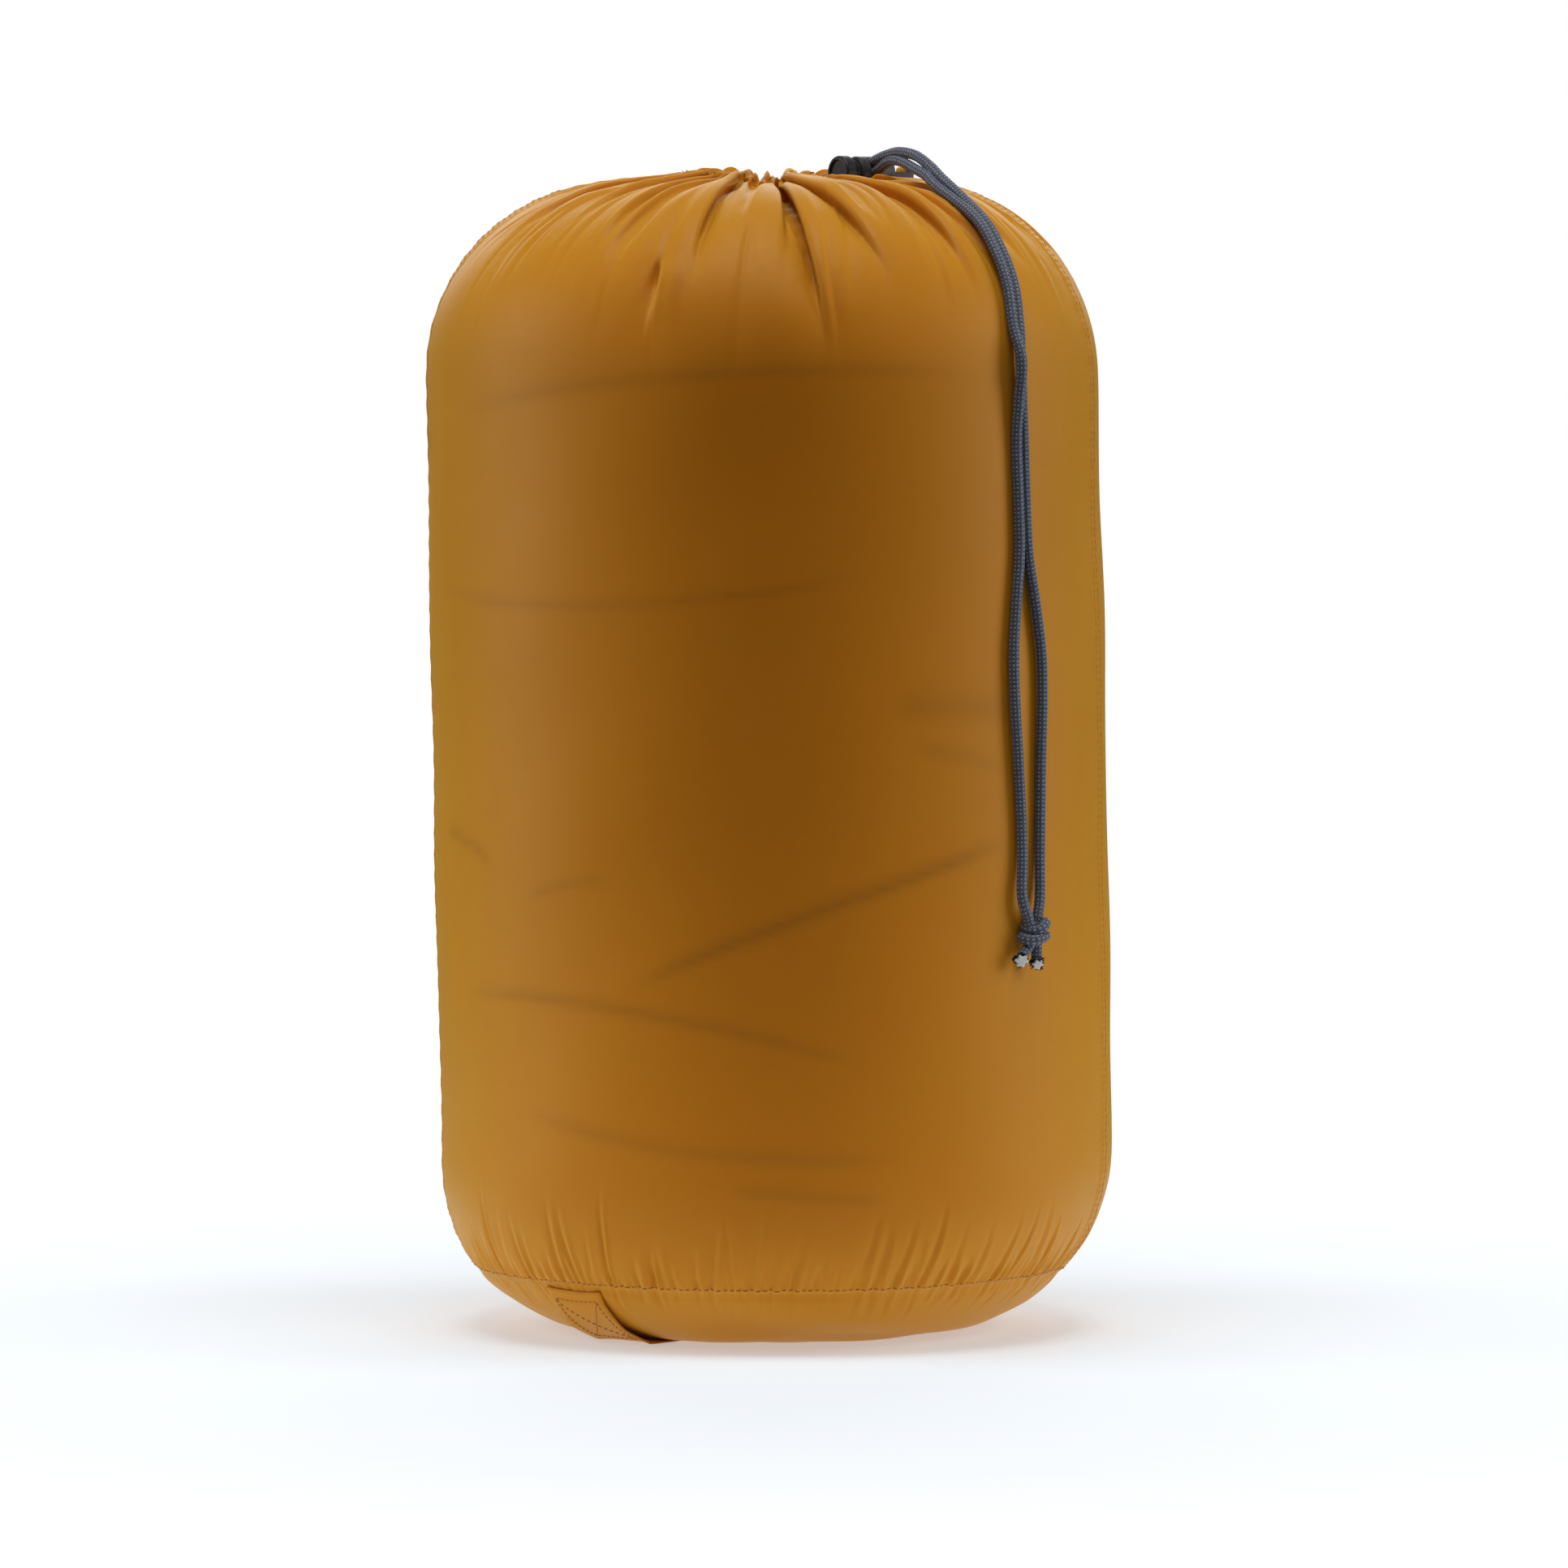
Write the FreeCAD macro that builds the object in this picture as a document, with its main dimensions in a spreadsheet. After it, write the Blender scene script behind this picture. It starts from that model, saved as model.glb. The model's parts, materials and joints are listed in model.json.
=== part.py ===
"""A full, cinched stuff sack: sewn panels, drawcord, cord lock and pull handle.

The sack stands on its base panel at the origin, +Z up, and its front faces -Y.
Azimuths are measured from the front (-Y) towards the right (+X).
"""
import FreeCAD, Part
import Sketcher
import math
import os

Vector = FreeCAD.Vector
Rotation = FreeCAD.Rotation
Placement = FreeCAD.Placement
UP = Vector(0, 0, 1)
ORIGIN = Vector(0, 0, 0)

# Driving dimensions in millimetres and degrees: alias, value, what it is.
DIMENSIONS = [
    ("body_radius", 120.0, "radius of the filled tube"),
    ("side_bottom", 60.0, "height where the side becomes upright"),
    ("crown_height", 343.0, "height where the shoulder starts to round over"),
    ("crown_radius", 68.0, "radius of the rounded shoulder"),
    ("skin", 0.8, "thickness of the fabric skins"),
    ("seam_radius", 106.0, "radius of the base seam"),
    ("seam_height", 21.5, "height of the base seam"),
    ("heel_radius", 60.0, "radius of the curve from the base seam to the side"),
    ("patch_radius", 62.0, "radius of the flat patch that rests on the ground"),
    ("base_curve", 55.8, "radius of the base panel's bulge"),
    ("base_skin", 2.0, "thickness of the doubled base panel"),
    ("right_seam", 77.0, "azimuth of the right side seam"),
    ("left_seam", 91.0, "azimuth of the left side seam, towards the left"),
    ("seam_gap", 0.05, "angle left open at each side seam"),
    ("seam_clear", 0.1, "gap between the side panels and the base panel's edge"),
    ("fill_gap", 0.1, "clearance between the contents and the skins"),
    ("fill_heel", 12.0, "height over which the contents reach their full width"),
    ("fill_drop", 1.0, "clearance between the contents and the casing"),
    ("neck_radius", 34.2, "radius where the panels meet the casing"),
    ("neck_height", 405.0, "height of the panels where they meet the casing"),
    ("neck_fall", 60.0, "radius of the curve from the shoulder down to the neck"),
    ("casing_outer", 34.0, "outer radius of the gathered casing"),
    ("casing_inner", 10.0, "radius of the closed mouth"),
    ("casing_bottom", 398.0, "underside of the casing"),
    ("casing_top", 408.0, "top of the casing"),
    ("casing_round", 3.0, "rounding of the casing"),
    ("pleat_count", 24, "gathers round the casing"),
    ("pleat_radius", 1.0, "radius of each gather's groove"),
    ("cord_radius", 1.75, "radius of the drawcord"),
    ("cord_gap", 0.4, "clearance round the drawcord in the casing"),
    ("cord_lift", 0.75, "height of the drawcord over the fabric"),
    ("strand_offset", 1.85, "half the distance between two strands side by side"),
    ("strand_spread", 7.5, "half the widest distance between the hanging strands"),
    ("loop_radius", 22.0, "radius of the drawcord inside the casing"),
    ("loop_height", 403.0, "height of the drawcord inside the casing"),
    ("loop_opening", 21.0, "angle left open where the drawcord leaves the casing"),
    ("thread_radius", 0.2, "radius of the sewing thread"),
    ("thread_lift", 0.3, "height of a thread's centre over the fabric"),
    ("strap_width", 25.0, "width of the pull handle"),
    ("strap_thick", 0.8, "thickness of the pull handle"),
    ("strap_recess", 0.2, "depth of the strap under the base's outline"),
    ("strap_angle", 48.0, "angle of the strap in plan, from the X axis"),
    ("strap_hold", 78.0, "distance from the middle to the sewn ends"),
    ("strap_end", 104.5, "distance from the middle to the strap's ends"),
    ("strap_gap", 0.1, "gap between the strap's free middle and its sewn ends"),
    ("bed_gap", 0.6, "clearance on each side of the strap in its bed"),
    ("stitch_inset", 3.0, "distance from a sewn end's edges to its stitched box"),
    ("stitch_side", 2.5, "distance from the strap's sides to the stitched box"),
    ("stitch_proud", 0.15, "height of the handle's stitches outside the base"),
    ("stitch_gap", 0.05, "clearance between the handle's stitches and the strap"),
    ("lock_x", 34.0, "place of the cord lock's hole"),
    ("lock_y", -5.0, "place of the cord lock's hole"),
    ("lock_z", 414.4, "height of the cord lock's axis"),
    ("lock_yaw", 217.7, "direction of the button in plan, from the X axis"),
    ("hole_tilt", 66.0, "tilt of the cord hole away from upright"),
    ("barrel_radius", 5.8, "outer radius of the lock's barrel"),
    ("barrel_length", 15.0, "length of the barrel"),
    ("barrel_wall", 1.2, "thickness of the barrel's closed end"),
    ("barrel_chamfer", 0.8, "chamfer of the barrel's closed end"),
    ("barrel_lip", 0.6, "chamfer of the barrel's open end"),
    ("bore_radius", 4.7, "radius of the plunger's bore"),
    ("hole_place", 9.55, "distance from the barrel's closed end to the cord hole"),
    ("hole_width", 3.8, "width of the cord hole along the barrel"),
    ("hole_length", 7.4, "length of the cord hole across the barrel"),
    ("press_travel", 3.0, "travel of the button"),
    ("slide_travel", 3.5, "travel of the lock along the cord"),
    ("lock_entry", 0.6, "straight run of cord between its bend and the lock"),
    ("lock_exit", 0.4, "straight run of cord beyond the lock's travel"),
    ("plunger_radius", 4.65, "radius of the plunger"),
    ("plunger_start", 6.2, "distance from the barrel's closed end to the plunger"),
    ("slot_inset", 1.5, "distance from the plunger's end to its cord slot"),
    ("slot_play", 0.2, "clearance of the cord in the plunger's slot"),
    ("slot_step", 0.1, "how much shorter the plunger's slot is than the barrel's hole"),
    ("head_radius", 6.0, "radius of the button's head"),
    ("head_start", 18.1, "distance from the barrel's closed end to the head"),
    ("head_thick", 4.5, "thickness of the head"),
    ("head_round", 1.0, "rounding of the head"),
    ("head_chamfer", 0.4, "chamfer of the head's inner edge"),
    ("dish_depth", 0.9, "depth of the dished face of the head"),
    ("dish_radius", 4.4, "radius of the dished face"),
    ("dish_slope", 0.3, "width of the slope round the dished face"),
    ("spring_radius", 3.4, "mean radius of the lock's spring"),
    ("spring_wire", 0.3, "radius of the spring's wire"),
    ("spring_pitch", 1.25, "pitch of the spring's coils at rest"),
    ("spring_gap", 0.05, "clearance at each end of the spring"),
    ("tail_length", 9.0, "length of the lock's tail plate"),
    ("tail_width", 11.5, "width of the tail plate"),
    ("tail_thick", 2.2, "thickness of the tail plate"),
    ("tail_drop", 1.9, "drop of the tail plate's underside below the axis"),
    ("tail_root", 1.0, "length of the tail plate inside the barrel's end"),
    ("tail_round", 2.4, "rounding of the tail plate's corners"),
    ("slot_start", 3.6, "distance from the barrel to the tether slot"),
    ("slot_width", 3.6, "width of the tether slot"),
    ("slot_length", 8.9, "length of the tether slot"),
    ("tab_width", 5.0, "width of the tether tab"),
    ("tab_thick", 0.6, "thickness of the tether tab"),
    ("tab_gap", 0.3, "clearance of the tether tab round the tail plate"),
    ("tab_side_gap", 0.25, "clearance of the tether tab at the slot's end"),
    ("tab_foot", 7.0, "length of the tether tab's sewn foot"),
    ("bar_count", 3, "stitched bars on the tether tab's foot"),
    ("bar_inset", 1.0, "distance from the foot's end to the first bar"),
    ("bar_pitch", 1.6, "distance between the bars"),
    ("bar_width", 0.8, "width of a bar"),
    ("bar_height", 0.35, "height of a bar"),
    ("bar_lift", 0.02, "clearance under a bar"),
    ("bar_side_gap", 0.5, "distance from the foot's sides to a bar's ends"),
    ("tail_azimuth", 48.0, "azimuth of the hanging cord ends"),
    ("landing_angle", 60.0, "angle on the shoulder where the cord lands"),
    ("arch_turn", 5.0, "azimuth between the landing place and the hanging ends"),
    ("lift_height", 346.0, "height where the cord ends lift from the shoulder"),
    ("swing_height", 275.0, "height where the cord ends swing sideways"),
    ("curl_height", 212.0, "height where the cord ends curl outwards"),
    ("knot_top", 150.0, "top of the knot"),
    ("lift_joint", 2.4, "radius of the rounded joint between cord pieces"),
    ("swing_joint", 5.6, "radius of the round joint between two pairs of strands"),
    ("joint_gap", 0.05, "clearance in the joints between cord pieces"),
    ("knot_height", 8.0, "height of the knot"),
    ("knot_radius", 4.3, "radius of the knot"),
    ("stub_length", 4.0, "length of the cord ends below the knot"),
    ("stub_root", 1.0, "length of each cord end inside the knot"),
    ("core_radius", 1.1, "radius of the white core"),
    ("core_length", 2.0, "length of the white core below the sheath"),
]

# Points that lay the cord over the shoulder.
SHOULDER_STEPS = 5
# How far a cord's curve runs on in its end direction, where it leaves the casing, arches over
# from the lock, comes down the side and reaches the knot.
CASING_PULL = 8.0
ARCH_PULL = 20.0
SIDE_PULL = 24.0
KNOT_PULL = 12.0
# Outward lean of the cord as it leaves the casing.
CASING_LEAN = 0.3
# Sideways spread of the cut ends for each millimetre down.
END_SPREAD = 0.12
# The knot's wraps: height over its middle as a share of its own height, and lean in degrees.
KNOT_WRAPS = ((-0.24, 14.0), (0.0, -18.0), (0.24, 10.0))
# Share of the cord's radius by which a wrap lies outside the knot's core.
WRAP_SINK = 0.8
# Tools that divide the cords: the length of a round one, and how far a band reaches past a joint.
TOOL_LENGTH = 60.0
BAND_OVERLAP = 5.0

doc = FreeCAD.newDocument("StuffSack")
sheet = doc.addObject("Spreadsheet::Sheet", "Sizes")
for row, (alias, value, meaning) in enumerate(DIMENSIONS, start=1):
    sheet.set(f"A{row}", meaning)
    sheet.set(f"B{row}", str(value))
    sheet.setAlias(f"B{row}", alias)
doc.recompute()

SUBPARTS = []


def size(expression):
    """The value of an expression written with the sheet's aliases."""
    return float(sheet.evalExpression(expression))


def bind(thing, **formulas):
    """Bind properties of an object to expressions on the sheet."""
    for name, formula in formulas.items():
        thing.setExpression(name.replace("__", "."), with_sheet(formula))


def with_sheet(formula):
    """The formula with each alias written as a property of the sheet."""
    words = formula
    for sign in "+-*/(),":
        words = words.replace(sign, f" {sign} ")
    known = {alias for alias, value, meaning in DIMENSIONS}
    return "".join(f"Sizes.{word}" if word in known else word for word in words.split())


def subpart(thing, label):
    """Name a finished sub-part after its node."""
    thing.Label = label
    SUBPARTS.append(thing)
    return thing


def solid_feature(label, shape, at=None):
    """A sub-part whose shape is made with Part's own functions."""
    thing = doc.addObject("Part::Feature", f"{label}_shape")
    thing.Shape = shape
    if at is not None:
        thing.Placement = at
    return subpart(thing, label)


def new_body(name):
    return doc.addObject("PartDesign::Body", name)


def origin_plane(body, role):
    return next(item for item in body.Origin.OriginFeatures if item.Role == role)


def new_sketch(body, name, role="XZ_Plane"):
    sketch = body.newObject("Sketcher::SketchObject", name)
    sketch.AttachmentSupport = [(origin_plane(body, role), "")]
    sketch.MapMode = "FlatFace"
    return sketch


def pin_point(sketch, edge, end, across, up):
    """Fix one end of a sketch edge with bound distances from the sketch's origin."""
    for kind, formula, axis in (("DistanceX", across, -2), ("DistanceY", up, -1)):
        value = size(formula)
        if abs(value) < 1e-9:
            sketch.addConstraint(Sketcher.Constraint("PointOnObject", edge, end, axis))
            continue
        index = sketch.addConstraint(Sketcher.Constraint(kind, -1, 1, edge, end, value))
        sketch.setExpression(f"Constraints[{index}]", with_sheet(formula))


def arc_between(start, finish, radius, side):
    """The shorter arc of a radius between two points, bulging left (+1) or right (-1)."""
    chord = finish - start
    half = chord.Length / 2
    rise = radius - math.sqrt(radius * radius - half * half)
    left = UP.cross(chord).normalize()
    return Part.Arc(start, start + chord * 0.5 + left * (side * rise), finish)


def outline(sketch, corners):
    """A closed outline: each corner is (across, up) or (across, up, radius, side).

    A radius and side make an arc from that corner to the next one.
    """
    places = [Vector(size(corner[0]), size(corner[1]), 0) for corner in corners]
    for index, corner in enumerate(corners):
        start = places[index]
        finish = places[(index + 1) % len(places)]
        if len(corner) == 2:
            sketch.addGeometry(Part.LineSegment(start, finish), False)
        else:
            sketch.addGeometry(arc_between(start, finish, size(corner[2]), corner[3]), False)
    begins = []
    for index, corner in enumerate(corners):
        is_arc = len(corner) == 4
        # Sketcher keeps every arc counter-clockwise, so a right-hand arc starts at its far end.
        begins.append(2 if is_arc and corner[3] > 0 else 1)
    for index, corner in enumerate(corners):
        following = (index + 1) % len(corners)
        sketch.addConstraint(
            Sketcher.Constraint("Coincident", index, 3 - begins[index], following, begins[following])
        )
        pin_point(sketch, index, begins[index], corner[0], corner[1])
        if len(corner) == 4:
            number = sketch.addConstraint(Sketcher.Constraint("Radius", index, size(corner[2])))
            sketch.setExpression(f"Constraints[{number}]", with_sheet(corner[2]))


def turned(body, sketch, name, angle="360", axis="V_Axis"):
    """Revolve a sketch of a body about one of the sketch's axes."""
    feature = body.newObject("PartDesign::Revolution", name)
    feature.Profile = sketch
    feature.ReferenceAxis = (sketch, [axis])
    bind(feature, Angle=angle)
    sketch.Visibility = False
    return feature


def turned_body(name, corners, angle="360", axis="V_Axis"):
    body = new_body(name)
    sketch = new_sketch(body, f"{name}_outline")
    outline(sketch, corners)
    turned(body, sketch, f"{name}_turn", angle, axis)
    return body


def box(name, length, width, height, at, turn=None):
    """A box centred in X and Y on `at`, turned in plan, its underside at the height of `at`."""
    block = doc.addObject("Part::Box", name)
    bind(block, Length=length, Width=width, Height=height)
    spin = Rotation(UP, 0 if turn is None else turn)
    corner = Vector(-size(length) / 2, -size(width) / 2, 0)
    block.Placement = Placement(at + spin.multVec(corner), spin)
    return block


def combine(kind, name, base, tool):
    feature = doc.addObject(f"Part::{kind}", name)
    feature.Base = base
    feature.Tool = tool
    return feature


def fuse_all(name, things):
    feature = doc.addObject("Part::MultiFuse", name)
    feature.Shapes = things
    return feature


def at_azimuth(azimuth, radius, height, along=0.0):
    """A point round the sack, moved `along` to the right as seen from outside."""
    angle = math.radians(azimuth)
    outwards = Vector(math.sin(angle), -math.cos(angle), 0)
    sideways = Vector(math.cos(angle), math.sin(angle), 0)
    return outwards * radius + sideways * along + UP * height


# ---------------------------------------------------------------- fabric skins

SEAM_CROSS = "(seam_radius - patch_radius) / base_curve"
SEAM_DOWN = "(base_curve - seam_height) / base_curve"


def base_ring(depth):
    """Where the base's bulge ends at the seam, at a depth inside the outline."""
    return (
        f"seam_radius - {SEAM_CROSS} * ({depth})",
        f"seam_height + {SEAM_DOWN} * ({depth})",
    )


def above_seam(depth):
    """Where a side panel ends at the seam, clear of the base panel's edge."""
    across, up = base_ring(depth)
    return f"{across} + {SEAM_DOWN} * seam_clear", f"{up} + {SEAM_CROSS} * seam_clear"


def base_band(name, outer, inner):
    """A turned band that follows the base's outline between two depths."""
    return turned_body(name, [
        ("0", outer),
        ("patch_radius", outer, f"base_curve - ({outer})", -1),
        (*base_ring(outer),),
        (*base_ring(inner), f"base_curve - ({inner})", 1),
        ("patch_radius", inner),
        ("0", inner),
    ])


def panel(name, label, start, sweep):
    """One half of the tube, from the base seam to the casing."""
    outer_top = "crown_height + crown_radius"
    middle = "body_radius - crown_radius"
    body = turned_body(name, [
        (*above_seam("0"), "heel_radius", -1),
        ("body_radius", "side_bottom"),
        ("body_radius", "crown_height", "crown_radius", -1),
        (middle, outer_top, "neck_fall", -1),
        ("neck_radius", "neck_height"),
        ("neck_radius", "neck_height - skin", "neck_fall - skin", 1),
        (middle, f"{outer_top} - skin", "crown_radius - skin", 1),
        ("body_radius - skin", "crown_height"),
        ("body_radius - skin", "side_bottom", "heel_radius - skin", 1),
        above_seam("skin"),
    ], sweep)
    body.Placement = Placement(ORIGIN, Rotation(UP, 0))
    bind(body, Placement__Rotation__Angle=start)
    return subpart(body, label)


def contents():
    """The packed load that keeps the sack round."""
    deep = "base_skin + fill_gap"
    side = "body_radius - skin - fill_gap"
    middle = "body_radius - crown_radius"
    return subpart(turned_body("Contents", [
        ("0", deep),
        ("patch_radius", deep, f"base_curve - ({deep})", -1),
        (*base_ring(deep),),
        (side, "side_bottom + fill_heel"),
        (side, "crown_height", "crown_radius - skin - fill_gap", -1),
        (middle, "crown_height + crown_radius - skin - fill_gap"),
        ("casing_outer", "casing_bottom - fill_drop"),
        ("0", "casing_bottom - fill_drop"),
    ]), "stuffed_contents")


def strap_box(name, start, finish, width, lengthwise_turn=0.0):
    """A tall box along the strap's line, between two distances from the middle."""
    direction = Rotation(UP, size("strap_angle"))
    middle = (size(start) + size(finish)) / 2
    at = direction.multVec(Vector(-middle, 0, 0)) - UP
    return box(name, f"({finish}) - ({start})", width, "seam_radius / 2", at,
               size("strap_angle") + lengthwise_turn)


def base_panel():
    """The round base with a shallow bed for the pull handle."""
    whole = base_band("Base", "0", "base_skin")
    bed_band = base_band("BedBand", "0", "strap_thick + 2 * strap_recess")
    bed_slab = strap_box("BedSlab", "-seam_radius", "seam_radius", "strap_width + 2 * bed_gap")
    bed = combine("Common", "Bed", bed_band, bed_slab)
    return subpart(combine("Cut", "BasePanel", whole, bed), "base_panel")


def pull_handle():
    """The webbing strap under the base: a free middle and two sewn ends."""
    spans = (
        ("grab_handle", "-strap_hold + strap_gap", "strap_hold - strap_gap"),
        ("handle_front_anchor", "strap_hold", "strap_end"),
        ("handle_rear_anchor", "-strap_end", "-strap_hold"),
    )
    for label, start, finish in spans:
        band = base_band(f"{label}_band", "strap_recess", "strap_recess + strap_thick")
        slab = strap_box(f"{label}_slab", start, finish, "strap_width")
        subpart(combine("Common", f"{label}_strap", band, slab), label)


def handle_stitching(label, side):
    """A sewn box with a cross, on one end of the strap."""
    near = "strap_hold + stitch_inset"
    far = "strap_end - stitch_inset"
    if side < 0:
        near, far = f"-({far})", f"-({near})"
    line = "2 * thread_radius"
    across = "strap_width - 2 * stitch_side"
    bars = [
        strap_box(f"{label}_near", near, f"({near}) + {line}", across),
        strap_box(f"{label}_far", f"({far}) - {line}", far, across),
    ]
    direction = Rotation(UP, size("strap_angle"))
    for name, edge in (("left", 1), ("right", -1)):
        bar = strap_box(f"{label}_{name}", near, far, line)
        bar.Placement.Base += direction.multVec(Vector(0, edge * size(across) / 2, 0))
        bars.append(bar)
    length = size(far) - size(near)
    lean = math.degrees(math.atan2(size(across), length))
    centre = direction.multVec(Vector(-(size(near) + size(far)) / 2, 0, 0)) - UP
    for name, turn in (("rising", lean), ("falling", -lean)):
        bars.append(box(f"{label}_{name}", str(math.hypot(size(across), length)), line,
                        "seam_radius / 2", centre, size("strap_angle") + turn))
    band = base_band(f"{label}_band", "-stitch_proud", "strap_recess - stitch_gap")
    lines = fuse_all(f"{label}_lines", bars)
    subpart(combine("Common", f"{label}_thread", band, lines), label)


# ---------------------------------------------------------------------- cords

def swept(path, radius, start, direction):
    """A round cord along a path that starts at a point in a direction."""
    circle = Part.Wire([Part.Circle(start, direction, radius).toShape()])
    return path.makePipeShell([circle], True, False)


def curve_through(points, first=None, last=None):
    """A smooth edge through points, with end directions where they matter."""
    curve = Part.BSplineCurve()
    options = {}
    if first is not None:
        options["InitialTangent"] = first
    if last is not None:
        options["FinalTangent"] = last
    curve.interpolate(Points=points, **options)
    return curve.toShape()


def lock_frame():
    """The lock's centre, axis, cord direction and the line between its two strands."""
    yaw = Rotation(UP, size("lock_yaw"))
    axis = yaw.multVec(Vector(1, 0, 0))
    sideways = yaw.multVec(Vector(0, 1, 0))
    tilt = math.radians(size("hole_tilt"))
    along = UP * math.cos(tilt) + sideways * math.sin(tilt)
    apart = UP * math.sin(tilt) - sideways * math.cos(tilt)
    centre = Vector(size("lock_x"), size("lock_y"), size("lock_z"))
    return centre, axis, along, apart


def over_shoulder(azimuth, degrees, along):
    """A point of a cord that lies on the rounded shoulder, by its angle on the curve."""
    reach = size("crown_radius + cord_radius + cord_lift")
    angle = math.radians(degrees)
    radius = size("body_radius - crown_radius") + reach * math.cos(angle)
    return at_azimuth(azimuth, radius, size("crown_height") + reach * math.sin(angle), along)


def tail_radius():
    return size("body_radius + cord_radius + cord_lift")


def hanging(height, along, outwards=0.0):
    """A point of a cord that hangs down the side."""
    return at_azimuth(size("tail_azimuth"), tail_radius() + outwards, height, along)


def arch_strand(side, radius):
    """One strand from the casing, through the lock and over the shoulder."""
    centre, axis, along, apart = lock_frame()
    offset = side * size("strand_offset")
    enter = centre + apart * offset - along * size("barrel_radius + lock_entry")
    leave = centre + apart * offset + along * size("barrel_radius + slide_travel + lock_exit")
    begin = Vector(size("loop_radius"), offset, size("loop_height"))
    up_first = Vector(CASING_LEAN, 0, 1)
    first = curve_through([begin, enter], up_first * CASING_PULL, along * CASING_PULL)
    straight = Part.makeLine(enter, leave)
    last = math.degrees(math.asin(
        size("lift_height - crown_height") / size("crown_radius + cord_radius + cord_lift")))
    landing = size("landing_angle")
    points = [leave]
    for step in range(SHOULDER_STEPS + 1):
        left = 1 - step / SHOULDER_STEPS
        azimuth = size("tail_azimuth") + left * size("arch_turn")
        points.append(over_shoulder(azimuth, last + left * (landing - last), offset))
    second = curve_through(points, along * ARCH_PULL, UP * -SIDE_PULL)
    path = Part.Wire([first, straight, second])
    return swept(path, radius, begin, up_first)


def tail_strand(side):
    """One strand from the shoulder down to the knot."""
    beside = side * size("strand_offset")
    widest = side * size("strand_spread")
    knot_out = size("knot_radius - cord_radius")
    lift, swing, curl, knot_at = [
        size(alias) for alias in ("lift_height", "swing_height", "curl_height", "knot_top")]
    points = [
        hanging(lift, beside),
        hanging((2 * lift + swing) / 3, beside),
        hanging((lift + 2 * swing) / 3, beside),
        hanging(swing, (3 * beside + widest) / 4),
        hanging((swing + curl) / 2, widest),
        hanging(curl, (beside + 5 * widest) / 6),
        hanging((2 * curl + knot_at) / 3, (beside + 4 * widest) / 5),
        hanging((curl + 3 * knot_at) / 4, (beside + 3 * widest) / 4, knot_out / 2),
        hanging(knot_at, beside, knot_out),
    ]
    down = Vector(0, 0, -1)
    path = Part.Wire([curve_through(points, down * SIDE_PULL, down * KNOT_PULL)])
    return swept(path, size("cord_radius"), points[0], down)


def disc(height, axis, radius):
    """A round tool about a joint axis through the hanging cord."""
    centre = hanging(height, 0)
    return Part.makeCylinder(radius, TOOL_LENGTH, centre - axis * (TOOL_LENGTH / 2), axis)


def band_of_height(low, high):
    """A block round the hanging cord between two heights."""
    reach = 3 * size("body_radius")
    block = Part.makeBox(reach, reach, high - low)
    block.Placement = Placement(Vector(-reach / 2, -reach / 2, low), Rotation())
    return block


def cord_tails():
    """The two hanging strands, divided where they lift, swing and curl."""
    strands = Part.Compound([tail_strand(1), tail_strand(-1)])
    outwards = at_azimuth(size("tail_azimuth"), 1, 0)
    sideways = at_azimuth(size("tail_azimuth"), 0, 0, 1)
    gap = size("joint_gap")
    lift, swing, curl = size("lift_height"), size("swing_height"), size("curl_height")
    low = size("knot_top")
    swing_tool = size("swing_joint")
    curl_tool = size("lift_joint")
    upper = strands.common(band_of_height(swing, lift + BAND_OVERLAP))
    upper = upper.cut(disc(swing, outwards, swing_tool + gap))
    middle = strands.common(band_of_height(curl, swing))
    middle = middle.fuse(strands.common(disc(swing, outwards, swing_tool)))
    middle = middle.cut(disc(curl, sideways, curl_tool + gap))
    lower = strands.common(band_of_height(low, curl))
    lower = lower.fuse(strands.common(disc(curl, sideways, curl_tool)))
    upper = upper.fuse(strands.common(disc(lift, sideways, curl_tool))).removeSplitter()
    for label, shape in (
        ("drawcord_tail_upper", upper),
        ("drawcord_tail_middle", middle.removeSplitter()),
        ("drawcord_tail_lower", lower.removeSplitter()),
    ):
        solid_feature(label, Part.Compound(shape.Solids))


def arch():
    """The fixed part of the drawcord, from the casing to the shoulder."""
    sideways = at_azimuth(size("tail_azimuth"), 0, 0, 1)
    tool = disc(size("lift_height"), sideways, size("lift_joint + joint_gap"))
    strands = [arch_strand(side, size("cord_radius")).cut(tool) for side in (1, -1)]
    solid_feature("drawcord_arch", Part.Compound([strand.Solids[0] for strand in strands]))


def cut_end(side):
    """Where a cut end starts inside the knot, and the direction in which it runs."""
    sideways = at_azimuth(size("tail_azimuth"), 0, 0, side)
    height = size("knot_top - joint_gap - knot_height + stub_root")
    start = hanging(height, side * size("strand_offset"), size("knot_radius - cord_radius"))
    return start, (sideways * END_SPREAD - UP).normalize()


def knot():
    """An overhand knot: a core with three wraps, and the two cut ends below it."""
    top = size("knot_top") - size("joint_gap")
    height = size("knot_height")
    radius = size("knot_radius")
    cord = size("cord_radius")
    outwards = at_azimuth(size("tail_azimuth"), 1, 0)
    centre = hanging(top - height / 2, 0, radius - cord)
    shape = Part.makeCylinder(radius - cord, height, centre - UP * (height / 2))
    for rise, lean in KNOT_WRAPS:
        wrap = Part.makeTorus(radius - cord * WRAP_SINK, cord)
        wrap.Placement = Placement(centre + UP * (rise * height), Rotation(outwards, lean))
        shape = shape.fuse(wrap)
    shape = shape.common(band_of_height(top - height, top))
    for side in (1, -1):
        start, direction = cut_end(side)
        shape = shape.fuse(Part.makeCylinder(cord, size("stub_length + stub_root"), start, direction))
    solid_feature("drawcord_knot", Part.Compound(shape.removeSplitter().Solids))


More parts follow.
